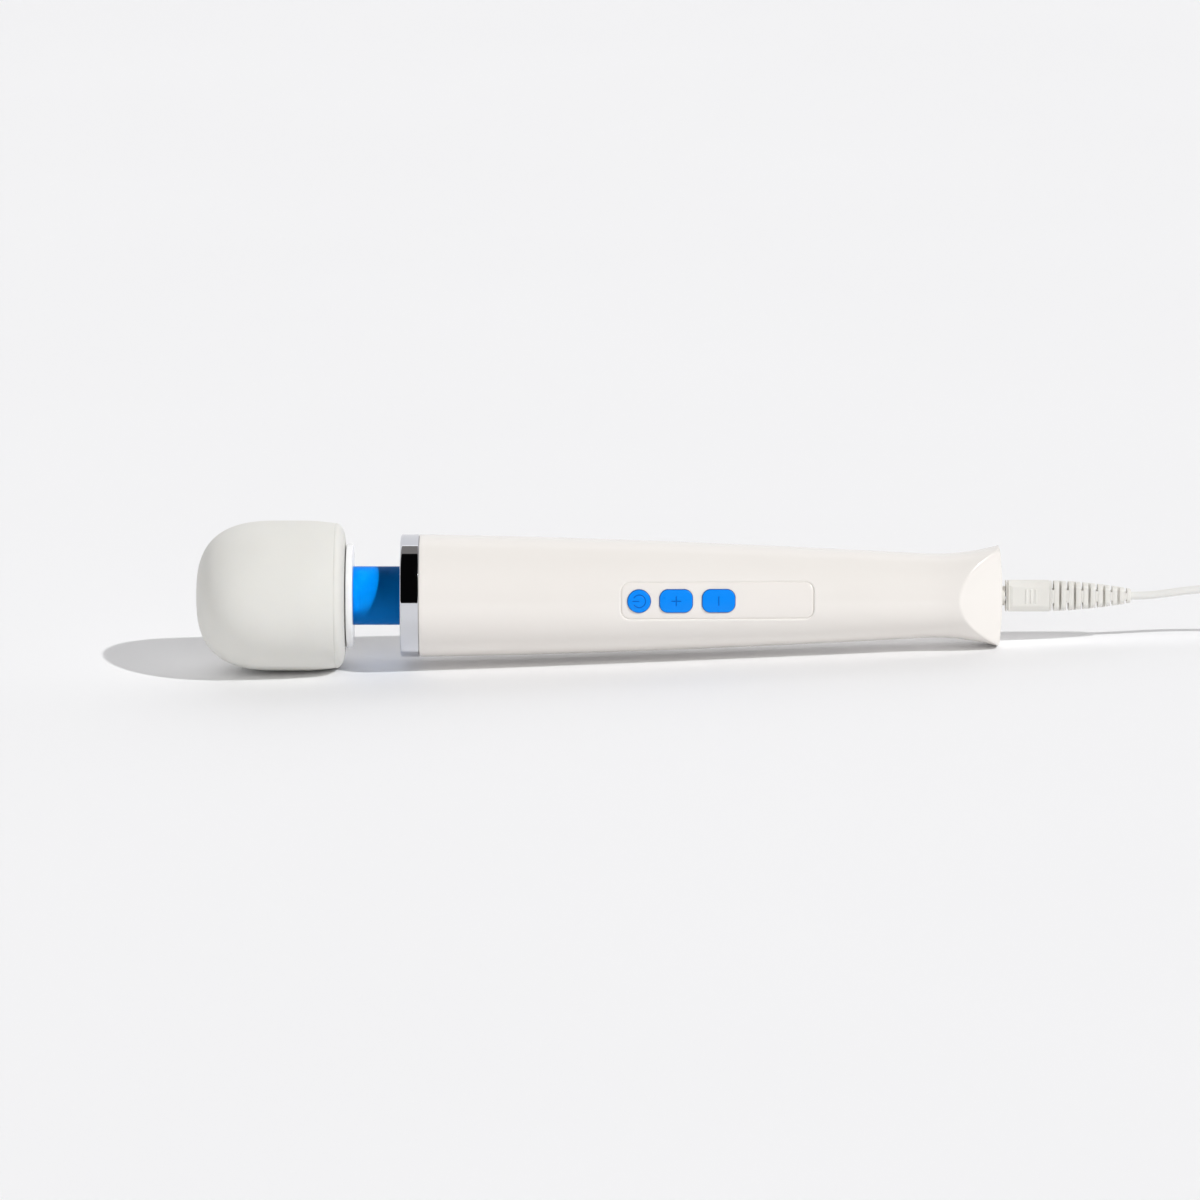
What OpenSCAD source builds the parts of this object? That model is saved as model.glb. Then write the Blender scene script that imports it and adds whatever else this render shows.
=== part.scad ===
// Corded handheld wand massager, lying on a table with its lead plugged in.
// Millimetres. Each piece of the wand is drawn in the wand's own frame: X runs from the tip
// of the head (x = 0) to the tail, -Y is the side with the buttons, and Z is across.
// at_rest() lays that frame on the table, so that the head and the tail both touch z = 0.

/* [Head] */
// Largest diameter of the soft head
head_d = 60; // [54:0.5:66]
// Length of the soft cap, from its tip to its rear face
head_len = 59.5; // [54:0.5:70]
// Distance from the tip to the start of the straight band at the widest place
crown_x = 34; // [31:0.5:38]
// Length of the straight band that attachments slide over
band_len = 8; // [6:0.5:10]
// Exponent of the dome's curve: 2 is an ellipse, more is squarer
dome_power = 3; // [2.6:0.1:3.6]
// Wall of the silicone cap at the side
cap_wall = 4; // [3:0.5:5]
// Wall of the silicone cap at the tip
tip_wall = 5; // [4:0.5:6]
// Diameter of the white plate behind the head
trim_d = 41.5; // [38:0.5:44]
// Thickness of that plate
trim_t = 3; // [2:0.5:4]

/* [Neck] */
// Diameter of the flexible sleeve
neck_d = 23.4; // [21:0.2:26]
// Bare length of the sleeve between the head and the collar
neck_gap = 18.9; // [16:0.1:26]
// Wall of the sleeve
sleeve_wall = 3; // [2:0.5:3.5]

/* [Collar] */
// Diameter of the chromed collar
collar_d = 49; // [46:0.5:54]
// Length of the collar
collar_w = 7.5; // [6:0.5:10]

/* [Handle] */
// Length of the moulded handle behind the collar
handle_len = 232.8; // [220:1:280]
// Diameter of the handle at the collar
handle_d = 48.8; // [46:0.2:54]
// Diameter of the handle at its waist
waist_d = 33.6; // [32:0.2:38]
// Diameter of the flared tail
tail_d = 41.2; // [39:0.2:46]
// Wall of both shells
wall = 2.4; // [1.8:0.1:3]
// Thickness of the end face between the two slanted facets
tail_t = 10; // [9:0.5:12]
// Length of each slanted facet
facet_len = 17.2; // [14:0.2:20]

/* [Controls] */
// Length of the button panel
panel_len = 76.5; // [70:0.5:84]
// Width of the button panel
panel_w = 14.9; // [13:0.1:16]
// Diameter of the power button and width of the other two
button_w = 9.3; // [8:0.1:10]
// Length of the plus and minus buttons
button_len = 13.2; // [11:0.2:14]
// How far the buttons stand out of the handle
button_proud = 0.4; // [0.2:0.1:0.8]
// Travel of each button
button_travel = 0.5; // [0.3:0.1:0.8]

/* [Motor] */
// Diameter of the motor can
motor_d = 36; // [32:0.5:37]
// Length of the motor can
motor_len = 48; // [42:1:52]
// Diameter of the motor shaft
motor_shaft_d = 3.2; // [3:0.1:4]
// Diameter of the eccentric's shaft
head_shaft_d = 5; // [4:0.5:6]

/* [Lead] */
// Diameter of the lead
cord_d = 3.2; // [2.8:0.1:3.6]
// Width of the moulded plug
plug_w = 12.4; // [11:0.2:14]
// Thickness of the moulded plug
plug_t = 8.4; // [7:0.2:9]
// Length of the plug's grip, without its strain relief
plug_len = 17.4; // [15:0.2:20]
// Length of the strain relief
relief_len = 32.6; // [28:0.2:36]

/* [Hidden] */
$fn = 64;
fit = 0.1; // gap between pieces that seat in each other
run = 0.04; // radial running clearance of a shaft
eps = 0.01;

// ---- lengthwise layout of the wand ----
head_r = head_d / 2;
crown_end = crown_x + band_len;
rear_lip = 4.5; // length of the cap's rounded rear edge
rear_drop = 1; // how much narrower the cap is where that edge starts
mouth_r = trim_d / 2 + 0.25; // opening at the back of the cap
trim_x = head_len + 0.2;
trim_end = trim_x + trim_t;
collar_x = trim_end + neck_gap;
handle_x = collar_x + collar_w;
tail_x = handle_x + handle_len;
neck_r = neck_d / 2;
pivot_x = trim_end + neck_gap / 2; // middle of the flexible neck

// ---- handle's outline ----
handle_r = handle_d / 2;
waist_x = tail_x - 28.9;
flare_x = tail_x - 32;
taper_power = 1.45;
handle_steps = 26;
function taper(x) = handle_r - (handle_r - waist_d / 2)
    * pow((x - handle_x) / (waist_x - handle_x), taper_power);
tail_flare = tail_d / 2 - taper(tail_x);
function flare(x) = x > flare_x ? tail_flare * pow((x - flare_x) / (tail_x - flare_x), 2) : 0;
function handle_at(x) = taper(x) + flare(x);
// Points stand closer together in the flare, where the outline bends most.
function handle_stop(i) = let (t = i / handle_steps)
    handle_x + handle_len * (1 - pow(1 - t, 1.6));
function handle_outline(inset) = [
    for (i = [0 : handle_steps]) [handle_at(handle_stop(i)) - inset, handle_stop(i)]
];
end_bulge_r = 150; // radius of the slightly domed end face
// each facet's plane runs from the side of the handle down to the end face
facet_x = tail_x - facet_len;
facet_drop = handle_at(facet_x) - tail_t / 2;
facet_angle = atan(facet_drop / facet_len);

// ---- head's outline, as [radius, x] ----
dome_steps = 20;
function dome(len, r, start) = [
    for (i = [0 : dome_steps]) let (a = 90 * i / dome_steps, p = 2 / dome_power)
        [r * pow(sin(a), p), start + len * (1 - pow(cos(a), p))]
];
lip_steps = 6;
function cap_rear() = concat(
    [for (i = [1 : 4]) let (t = i / 4)
        [head_r - rear_drop * t * t, crown_end + (head_len - rear_lip - crown_end) * t]],
    [for (i = [1 : lip_steps]) let (a = 90 * i / lip_steps)
        [mouth_r + (head_r - rear_drop - mouth_r) * cos(a), head_len - rear_lip * (1 - sin(a))]]
);
cap_outline = concat(dome(crown_x, head_r, 0), [[head_r, crown_end]], cap_rear());

// ---- how the wand lies ----
rest_roll = -8; // the buttons look a little upwards
// the domed end face leaves the tips of the tail this far short of tail_x
tip_short = end_bulge_r - sqrt(pow(end_bulge_r, 2) - pow(tail_d / 2, 2));
touch_x = tail_x - tip_short;
touch_r = handle_at(touch_x);
rest_tilt = atan((head_r - 0.05 - touch_r) / (touch_x - crown_end - 3));
function height_below(p) = p[0] * cos(rest_tilt) + p[1] * sin(rest_tilt);
rest_height = max([for (p = concat(cap_outline, [[touch_r, touch_x]])) height_below(p)]);
module at_rest() {
    translate([-(tail_x + inlet_nose) / 2, 0, rest_height])
        rotate([rest_roll, rest_tilt, 0]) children();
}

// ---- small helpers ----
// Turns a profile of [radius, x] points about the X axis.
module turned(points) {
    rotate([0, 90, 0]) rotate_extrude() polygon(points);
}
// A round bar or hole along X, from x0 to x1.
module bar(r, x0, x1) {
    translate([x0, 0, 0]) rotate([0, 90, 0]) cylinder(r = r, h = x1 - x0);
}
// A ring about X.
module ring(r_out, r_in, x0, x1) {
    difference() {
        bar(r_out, x0, x1);
        bar(r_in, x0 - 1, x1 + 1);
    }
}
// A round bar along Y at [x, z], from y0 to y1.
module post(r, x, z, y0, y1) {
    translate([x, y1, z]) rotate([90, 0, 0]) cylinder(r = r, h = y1 - y0);
}
// A flat shape with round corners, centred, with w along its first axis.
module rounded_2d(w, h, r) {
    square([w - 2 * r, h], center = true);
    square([w, h - 2 * r], center = true);
    for (x = [-1, 1], y = [-1, 1])
        translate([x * (w / 2 - r), y * (h / 2 - r)]) circle(r = r);
}
// A prism of that shape along Y, centred at x, from y0 to y1.
module rounded_block(x, w, h, r, y0, y1) {
    translate([x, y1, 0]) rotate([90, 0, 0]) linear_extrude(y1 - y0) rounded_2d(w, h, r);
}
// The same prism along X, with w along Y and h along Z.
module rounded_bar(w, h, r, x0, x1) {
    translate([x0, 0, 0]) rotate([90, 0, 90]) linear_extrude(x1 - x0) rounded_2d(w, h, r);
}
// A pan-head screw along X with its head at x, its shank running towards the tip.
module screw_x(x, y, z, r, head_r, head_h, len) {
    translate([0, y, z]) {
        bar(head_r, x, x + head_h);
        bar(r, x - len, x + eps);
    }
}
// A tube swept along points: sides corners a ring, radius r.
function unit(v) = v / norm(v);
function ring_of(p, along, r, sides, start) = let (
        u = unit(cross(along, start)), w = cross(u, along))
    [for (k = [0 : sides - 1]) p + r * (cos(360 * k / sides) * u + sin(360 * k / sides) * w)];
module swept_tube(path, r, sides, start = [0, 0, 1]) {
    n = len(path);
    heading = [for (i = [0 : n - 1]) unit(path[min(i + 1, n - 1)] - path[max(i - 1, 0)])];
    points = [for (i = [0 : n - 1]) each ring_of(path[i], heading[i], r, sides, start)];
    faces = concat(
        [[for (k = [0 : sides - 1]) k]],
        [for (i = [0 : n - 2], k = [0 : sides - 1]) let (j = (k + 1) % sides)
            each [[i * sides + k, (i + 1) * sides + k, (i + 1) * sides + j],
                  [i * sides + k, (i + 1) * sides + j, i * sides + j]]],
        [[for (k = [sides - 1 : -1 : 0]) (n - 1) * sides + k]]
    );
    polyhedron(points, faces);
}

// ---- soft head ----
core_r = head_r - cap_wall;
core_x = tip_wall;
core_end = 52; // where the inner shell meets the base
core_wall = 2.2;
base_end = head_len + 0.1;
base_lip_x = head_len - 3; // the cap's rear lip hooks behind the base here
module head_cap() {
    color("#e6e5df") turned(concat(
        cap_outline,
        [[mouth_r, base_lip_x + fit], [core_r + fit, base_lip_x + fit]],
        [for (i = [dome_steps : -1 : 0]) dome(crown_x - core_x, core_r + fit, core_x - fit)[i]]
    ));
}

bearing_od = 14;
bearing_w = 5;
front_bearing_x = 12;
rear_bearing_x = 49;
bearing_xs = [front_bearing_x, rear_bearing_x];
module head_shell() {
    color("#d8d8d4") difference() {
        union() {
            difference() {
                turned(concat(dome(crown_x - core_x, core_r, core_x), [[core_r, core_end], [0, core_end]]));
                turned(concat(
                    dome(crown_x - core_x - core_wall, core_r - core_wall, core_x + core_wall),
                    [[core_r - core_wall, core_end + 1], [0, core_end + 1]]
                ));
            }
            bar(bearing_od / 2 + 2, core_x + core_wall - 0.5, front_bearing_x + bearing_w);
            for (a = screw_angles) rotate([a, 0, 0]) translate([0, 0, screw_circle])
                bar(3, boss_x, core_end - fit);
            for (a = screw_angles) rotate([a, 0, 0]) translate([boss_x, -1, screw_circle])
                cube([core_end - fit - boss_x, 2, core_r - core_wall / 2 - screw_circle]);
        }
        bar(bearing_od / 2 + 0.02, front_bearing_x, core_end);
        bar(head_shaft_d / 2 + 0.5, front_bearing_x - 4, front_bearing_x + 1);
        for (a = screw_angles) rotate([a, 0, 0]) translate([0, 0, screw_circle])
            bar(1.25, boss_x + 0.6, core_end + 1);
    }
}

screw_angles = [30, 150, 270];
screw_circle = (neck_r + mouth_r) / 2;
spigot_r = 5.8; // seats the neck spring at both ends
spigot_len = 4.5;
module head_base() {
    color("#f2f2ef") difference() {
        union() {
            bar(core_r, core_end, base_lip_x);
            bar(mouth_r - fit, base_lip_x - 1, base_end);
            bar(bearing_od / 2 + 2, rear_bearing_x, core_end + 1);
            bar(spigot_r, base_end - 1, base_end + spigot_len);
        }
        bar(bearing_od / 2 + 0.02, rear_bearing_x - 1, rear_bearing_x + bearing_w);
        bar(head_shaft_d / 2 + 0.5, rear_bearing_x, base_end + spigot_len + 1);
        for (a = screw_angles) rotate([a, 0, 0]) translate([0, 0, screw_circle]) {
            bar(1.6, core_end - 1, base_end + 1);
            bar(2.9, base_end - 3.5, base_end + 1);
        }
        ring(neck_r + fit, neck_r - sleeve_wall - fit, base_end - 1.4, base_end + 1);
    }
}

module head_screws() {
    color("silver") for (a = screw_angles) rotate([a, 0, 0])
        screw_x(base_end - 3.4, 0, screw_circle, 1.15, 2.6, 2, base_end - 3.4 - boss_x - 1);
}

module head_trim_plate() {
    edge = 0.8;
    color("white") turned([
        [neck_r + 0.2, trim_x], [trim_d / 2 - 0.3, trim_x], [trim_d / 2, trim_x + 0.3],
        [trim_d / 2, trim_end - edge], [trim_d / 2 - 0.23 * edge, trim_end - 0.3 * edge],
        [trim_d / 2 - edge, trim_end], [neck_r + 0.2, trim_end]
    ]);
}

race_t = 1.3;
ball_r = ((bearing_od - head_shaft_d) / 2 - 2 * race_t) / 2;
module bearing_outer_rings() {
    color("#b8babd") for (x = bearing_xs)
        ring(bearing_od / 2, bearing_od / 2 - race_t, x + fit, x + bearing_w - fit);
}
module bearing_inner_rings() {
    color("#c4c6c9") for (x = bearing_xs)
        ring(head_shaft_d / 2 + race_t, head_shaft_d / 2 + 0.01, x + fit, x + bearing_w - fit);
}
module bearing_balls() {
    balls = 7;
    circle_r = head_shaft_d / 2 + race_t + ball_r;
    color("silver") for (x = bearing_xs, k = [0 : balls - 1])
        rotate([360 * k / balls, 0, 0]) translate([x + bearing_w / 2, 0, circle_r])
            sphere(r = ball_r - run);
}

// ---- eccentric and its drive ----
weight_x = front_bearing_x + bearing_w + 4;
weight_end = rear_bearing_x - 5;
boss_x = weight_end + 0.8; // the inner shell's screw posts stay clear of the turning weight
weight_r = 15.5;
module eccentric_weight() {
    hub_r = 6;
    // it hangs straight down when the wand lies at rest
    color("#6f7276") rotate([-rest_roll, 0, 0]) difference() {
        union() {
            intersection() {
                bar(weight_r, weight_x, weight_end);
                translate([weight_x - 1, -weight_r - 1, -weight_r - 1])
                    cube([weight_end - weight_x + 2, 2 * weight_r + 2, weight_r + 1]);
            }
            bar(hub_r, weight_x, weight_end);
        }
        bar(head_shaft_d / 2 + 0.01, weight_x - 1, weight_end + 1);
    }
}
shaft_front = front_bearing_x - 2;
shaft_end = base_end + spigot_len + 4;
module eccentric_shaft() {
    color("silver") bar(head_shaft_d / 2, shaft_front, shaft_end);
}
ferrule_r = 3.8;
ferrule_x = base_end + spigot_len + 1;
ferrule_end = shaft_end + 3.5;
flex_d = 4.4;
module shaft_ferrule() {
    color("#9c8a55") difference() {
        bar(ferrule_r, ferrule_x, ferrule_end);
        bar(head_shaft_d / 2 + 0.01, ferrule_x - 1, shaft_end);
        bar(flex_d / 2 + 0.01, shaft_end - 1, ferrule_end + 1);
    }
}

// ---- neck ----
spring_wire = 1.5;
spring_r = spigot_r + spring_wire / 2 + 0.15; // mean radius
spring_turns = 9;
plate_x = collar_x + 0.7; // white plate inside the front of the collar
plate_t = 2.2;
flange_x = plate_x + plate_t;
flange_t = 1.4;
flange_r = neck_r + 2.2;
clamp_x = flange_x + flange_t;
module neck_sleeve() {
    bore_r = neck_r - sleeve_wall;
    color("#0a78d8") turned([
        [bore_r, base_end - 1.3], [neck_r, base_end - 1.3], [neck_r, flange_x],
        [flange_r, flange_x], [flange_r, clamp_x - 0.05], [bore_r, clamp_x - 0.05]
    ]);
}
module neck_spring() {
    steps = 18; // rings in each turn
    x0 = base_end + spring_wire / 2 + 0.1;
    x1 = clamp_x - spring_wire / 2 - 0.1;
    count = spring_turns * steps;
    color("#a7aaae") swept_tube(
        [for (i = [0 : count]) let (a = 360 * i / steps)
            [x0 + (x1 - x0) * i / count, spring_r * cos(a), spring_r * sin(a)]],
        spring_wire / 2, 8, [1, 0, 0]);
}
collar_wall = 2.2;
collar_r = collar_d / 2;
spigot_outer_r = collar_r - collar_wall - fit;
clamp_t = 3;
clamp_r = spigot_outer_r - wall - 0.15; // just inside the shells' spigot
clamp_screw_circle = (flange_r + clamp_r) / 2;
spigot_x = clamp_x - spigot_len;
module neck_clamp() {
    color("#3b3d40") difference() {
        union() {
            bar(clamp_r, clamp_x, clamp_x + clamp_t);
            bar(spigot_r, spigot_x, clamp_x + 1);
        }
        bar(ferrule_r + 0.4, spigot_x - 1, clamp_x + clamp_t + 1);
        for (a = screw_angles) rotate([a, 0, 0]) translate([0, 0, clamp_screw_circle])
            bar(1.4, clamp_x - 1, clamp_x + clamp_t + 1);
    }
}
module clamp_screws() {
    color("silver") for (a = screw_angles) rotate([a, 0, 0])
        screw_x(clamp_x + clamp_t, 0, clamp_screw_circle, 1.1, 1.7, 1.5, clamp_t + flange_t + plate_t - 1);
}
module neck_plate() {
    color("white") difference() {
        bar(spigot_outer_r, plate_x, plate_x + plate_t - fit);
        bar(neck_r + 0.15, plate_x - 1, plate_x + plate_t);
        for (a = screw_angles) rotate([a, 0, 0]) translate([0, 0, clamp_screw_circle])
            bar(1.12, plate_x + 0.8, plate_x + plate_t);
    }
}
module collar_ring() {
    edge = 1.1;
    steps = 4;
    inner_r = collar_r - collar_wall;
    color("#c9ccd2") turned(concat(
        [[inner_r, collar_x + 0.3], [inner_r + 0.3, collar_x]],
        [for (i = [0 : steps]) let (a = 90 * i / steps)
            [collar_r - edge * (1 - sin(a)), collar_x + edge * (1 - cos(a))]],
        [for (i = [0 : steps]) let (a = 90 * i / steps)
            [collar_r - 0.4 * (1 - cos(a)), handle_x - fit - 0.4 * (1 - sin(a))]],
        [[inner_r, handle_x - fit]]
    ));
}

// ---- motor ----
motor_r = motor_d / 2;
motor_x = handle_x + 13;
motor_end = motor_x + motor_len;
motor_shaft_r = motor_shaft_d / 2;
bush_r = 4;
nose_r = 6.5;
nose_len = 3;
can_wall = 1.2;
end_cap_t = 6;
flex_end = motor_x - nose_len - 4.5;
module drive_coupling() {
    color("#8d8f93") difference() {
        bar(4.5, flex_end - 3.5, motor_x - nose_len - 0.8);
        bar(flex_d / 2 + 0.01, flex_end - 4.5, flex_end);
        bar(motor_shaft_r + 0.01, flex_end - 1, motor_x);
    }
}
module flex_shaft() {
    color("#7b7e82") bar(flex_d / 2, shaft_end + 0.1, flex_end - 0.2);
}
module motor_can() {
    color("#b4b7ba") turned([
        [bush_r + 0.01, motor_x - nose_len], [nose_r, motor_x - nose_len], [nose_r, motor_x],
        [motor_r - 1, motor_x], [motor_r, motor_x + 1], [motor_r, motor_end],
        [motor_r - can_wall, motor_end], [motor_r - can_wall, motor_x + can_wall],
        [bush_r + 0.01, motor_x + can_wall]
    ]);
}
commutator_r = 4.4;
commutator_x = motor_end - 8.8;
brush_x = commutator_x + 0.8;
brush_len = 3.4;
brush_w = 3;
brush_end = commutator_r + 6;
holder_z = commutator_r + 1.6; // the brush holders start clear of the commutator
module motor_end_cap() {
    color("#2b2c2e") difference() {
        union() {
            bar(motor_r - can_wall - fit, motor_end - 2, motor_end);
            bar(motor_r - 0.6, motor_end + eps, motor_end + end_cap_t - 2);
            bar(motor_r - can_wall - fit, motor_end - 1, motor_end + 1);
            bar(nose_r, motor_end, motor_end + end_cap_t);
            for (side = [0, 180]) rotate([side, 0, 0])
                translate([commutator_x, -brush_w / 2 - 1, holder_z])
                    cube([motor_end - 1 - commutator_x, brush_w + 2, brush_end - holder_z + 1.2]);
        }
        for (side = [0, 180]) rotate([side, 0, 0])
            translate([brush_x - 0.05, -brush_w / 2 - 0.05, 0])
                cube([brush_len + 0.1, brush_w + 0.1, brush_end + 0.1]);
        bar(bush_r + 0.01, motor_end - 3, motor_end + end_cap_t - 1);
        bar(motor_shaft_r + 0.3, motor_end, motor_end + end_cap_t + 1);
    }
}
module motor_bushes() {
    color("#b08a4a") {
        ring(bush_r, motor_shaft_r + run, motor_x - nose_len + 0.1, motor_x + can_wall - 0.1);
        ring(bush_r, motor_shaft_r + run, motor_end - 0.5, motor_end + end_cap_t - 1.2);
    }
}
magnet_t = 3;
armature_r = motor_r - can_wall - magnet_t - 0.9;
module motor_magnets() {
    x0 = motor_x + 6;
    x1 = motor_end - 9;
    color("#3a3431") for (side = [0, 180]) rotate([side, 0, 0]) intersection() {
        ring(motor_r - can_wall - 0.05, motor_r - can_wall - magnet_t, x0, x1);
        translate([x0 - 1, -motor_r, 5]) cube([x1 - x0 + 2, motor_d, motor_r]);
    }
}
core_x0 = motor_x + 9;
winding_t = 3.8;
core_x1 = commutator_x - winding_t - 0.4;
slots = 5;
module armature_core() {
    color("#8a8d91") difference() {
        bar(armature_r, core_x0, core_x1);
        bar(motor_shaft_r + 0.01, core_x0 - 1, core_x1 + 1);
        for (k = [0 : slots - 1]) rotate([360 * k / slots, 0, 0]) {
            translate([0, 0, armature_r * 0.66]) bar(armature_r * 0.24, core_x0 - 1, core_x1 + 1);
            translate([core_x0 - 1, -0.8, armature_r * 0.66])
                cube([core_x1 - core_x0 + 2, 1.6, armature_r * 0.5]);
        }
    }
}
module armature_windings() {
    color("#b4622e") {
        ring(armature_r - 1.8, motor_shaft_r + 0.8, core_x0 - winding_t, core_x0 - 0.05);
        ring(armature_r - 1.8, motor_shaft_r + 0.8, core_x1 + 0.05, core_x1 + winding_t);
        for (k = [0 : slots - 1]) rotate([360 * k / slots, 0, 0])
            translate([0, 0, armature_r * 0.66])
                bar(armature_r * 0.24 - 0.15, core_x0 - 1, core_x1 + 1);
    }
}
module commutator() {
    color("#c07c3c") ring(commutator_r, motor_shaft_r + 0.01, commutator_x, commutator_x + 5);
}
module motor_shaft() {
    color("silver") bar(motor_shaft_r, flex_end + 0.2, motor_end + end_cap_t - 1.5);
}
module motor_brushes() {
    color("#2f2f31") for (side = [0, 180]) rotate([side, 0, 0])
        translate([brush_x, -brush_w / 2, commutator_r + run])
            cube([brush_len, brush_w, brush_end - commutator_r - run]);
}
isolator_w = 6;
isolator_xs = [motor_x + 4, motor_end - 4 - isolator_w];
module motor_isolators() {
    color("#26282b") for (x = isolator_xs)
        ring(handle_at(x + isolator_w) - wall - 0.15, motor_r + 0.02, x, x + isolator_w);
}

// ---- handle shells ----
panel_x0 = handle_x + 80.3;
panel_x1 = panel_x0 + panel_len;
panel_mid = (panel_x0 + panel_x1) / 2;
panel_corner = 3.6;
panel_sunk = 0.25;
flange_wide = 1.4; // the panel's hidden flange reaches this far behind the shell
board_y = 12; // depth of the board's outer face
board_t = 1.6;
board_post_xs = [panel_x0 - 4.9, panel_x1 + 4.9];
shell_screw_xs = [motor_end + 12, tail_x - 62];
function shell_screw_z(x) = handle_at(x) - wall - 4.2;
function inner_depth(x, z, r) = sqrt(r * r - z * z);
spigot_clear = 0.4;
// The solid handle, smaller all round by inset.
module handle_form(inset) {
    intersection() {
        difference() {
            turned(concat([[0, handle_x + inset]], handle_outline(inset),
                [[handle_at(tail_x) - inset, tail_x + 2], [0, tail_x + 2]]));
            for (side = [0, 180]) rotate([side, 0, 0])
                translate([facet_x, -handle_at(facet_x), 0])
                    rotate([0, 0, facet_angle])
                        translate([-20, -40 + inset, -40]) cube([80, 40, 80]);
        }
        translate([tail_x - inset - end_bulge_r, 0, 0]) rotate([90, 0, 0])
            cylinder(r = end_bulge_r, h = 100, center = true, $fn = 180);
    }
}
module shell_stock() {
    difference() {
        union() {
            handle_form(0);
            ring(spigot_outer_r, spigot_outer_r - wall, clamp_x + spigot_clear, handle_x + 1);
        }
        difference() {
            handle_form(wall);
            bar(handle_r + 1, handle_x, handle_x + wall + 0.5);
        }
        bar(spigot_outer_r - wall, handle_x - 1, handle_x + wall + 1);
        bar(inlet_r + fit, tail_x - 12, tail_x + 5);
    }
}
module half_space(side) {
    translate([0, side < 0 ? -100 : 0, -100]) cube([2 * tail_x, 100, 200]);
}
boss_r = 3.1;
module shell_bosses(side) {
    for (x = shell_screw_xs, s = [-1, 1]) let (z = s * shell_screw_z(x))
        intersection() {
            handle_form(wall / 2);
            post(boss_r, x, z, side < 0 ? -60 : 0, side < 0 ? 0 : 60);
        }
}
module board_posts() {
    for (x = board_post_xs) intersection() {
        handle_form(wall / 2);
        post(2.4, x, 0, -60, -board_y);
    }
}
module front_shell() {
    color("#f3efea") difference() {
        union() {
            intersection() {
                shell_stock();
                half_space(-1);
            }
            shell_bosses(-1);
            board_posts();
        }
        panel_prism(fit, -60, 0);
        for (x = shell_screw_xs, s = [-1, 1]) post(1.25, x, s * shell_screw_z(x), -9, 1);
        for (x = board_post_xs) post(0.85, x, 0, -board_y - 4.5, -board_y + 1);
    }
}
screw_seat_y = 5;
module rear_shell() {
    color("#f3efea") difference() {
        union() {
            intersection() {
                shell_stock();
                half_space(1);
            }
            shell_bosses(1);
        }
        for (x = shell_screw_xs, s = [-1, 1]) let (z = s * shell_screw_z(x)) {
            post(1.6, x, z, -1, screw_seat_y + 1);
            post(2.7, x, z, screw_seat_y, 60);
        }
    }
}
module shell_screws() {
    color("silver") for (x = shell_screw_xs, s = [-1, 1]) let (z = s * shell_screw_z(x)) {
        post(2.5, x, z, screw_seat_y + 0.05, screw_seat_y + 2.1);
        post(1.2, x, z, -8, screw_seat_y + 0.1);
    }
}

// ---- button panel and buttons ----
module panel_prism(grow, y0, y1) {
    rounded_block(panel_mid, panel_len + 2 * grow, panel_w + 2 * grow, panel_corner + grow, y0, y1);
}
module curved_sheet(outer_inset, inner_inset) {
    difference() {
        turned(concat([[0, handle_x]], handle_outline(outer_inset), [[0, tail_x]]));
        turned(concat([[0, handle_x - 1]], handle_outline(inner_inset), [[0, tail_x + 1]]));
    }
}
power_x = panel_x0 + 7.1;
plus_x = panel_x0 + 21.8;
minus_x = panel_x0 + 38.7;
button_corner = 3.4;
module button_prism(x, len, corner, grow, y0, y1) {
    rounded_block(x, len + 2 * grow, button_w + 2 * grow, corner + grow, y0, y1);
}
power_corner = button_w / 2 - eps;
button_gap = 0.12;
module button_panel() {
    color("#f4f1ec") difference() {
        union() {
            intersection() {
                curved_sheet(panel_sunk, wall + 0.2);
                panel_prism(0, -60, 0);
            }
            intersection() {
                curved_sheet(wall + 0.1, wall + 1.1);
                panel_prism(flange_wide, -60, 0);
            }
        }
        button_prism(power_x, button_w, power_corner, button_gap, -60, 0);
        button_prism(plus_x, button_len, button_corner, button_gap, -60, 0);
        button_prism(minus_x, button_len, button_corner, button_gap, -60, 0);
    }
}
switch_h = 3.4;
plunger_r = 1.7;
plunger_h = 1.2;
switch_top = board_y + switch_h;
stem_y = switch_top + plunger_h;
module button(x, len, corner) {
    color("#0a8ff5") union() {
        intersection() {
            turned(concat([[0, handle_x]], handle_outline(-button_proud), [[0, tail_x]]));
            button_prism(x, len, corner, 0, -60, -stem_y - 1);
        }
        post(1.9, x, 0, -stem_y - 1.5, -stem_y);
    }
}
module power_button() { button(power_x, button_w, power_corner); }
module plus_button() { button(plus_x, button_len, button_corner); }
module minus_button() { button(minus_x, button_len, button_corner); }
module plunger(x) {
    color("#e8e2d4") post(plunger_r, x, 0, -stem_y + 0.02, -switch_top + 0.6);
}
module power_plunger() { plunger(power_x); }
module plus_plunger() { plunger(plus_x); }
module minus_plunger() { plunger(minus_x); }
module switch_bodies() {
    size = 6;
    color("#2d2e30") for (x = [power_x, plus_x, minus_x]) difference() {
        translate([x - size / 2, -switch_top, -size / 2]) cube([size, switch_h - 0.05, size]);
        post(plunger_r + 0.05, x, 0, -switch_top - 1, -switch_top + 0.6 + button_travel + 0.3);
    }
}
board_w = 18;
module control_board() {
    color("#2f7d4f") difference() {
        translate([board_post_xs[0] - 3, -board_y, -board_w / 2])
            cube([board_post_xs[1] - board_post_xs[0] + 6, board_t, board_w]);
        for (x = board_post_xs) post(1.15, x, 0, -board_y - 1, 0);
    }
}
module board_screws() {
    color("silver") for (x = board_post_xs) {
        post(1.9, x, 0, -board_y + board_t + 0.05, -board_y + board_t + 1.4);
        post(0.8, x, 0, -board_y - 4, -board_y + board_t + 0.1);
    }
}
module indicator_leds() {
    color("#eef3f7") for (k = [0 : 3])
        translate([minus_x + 14 + 6.5 * k, -board_y - 1.1, -0.8]) cube([2.2, 1.05, 1.6]);
}

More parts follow.
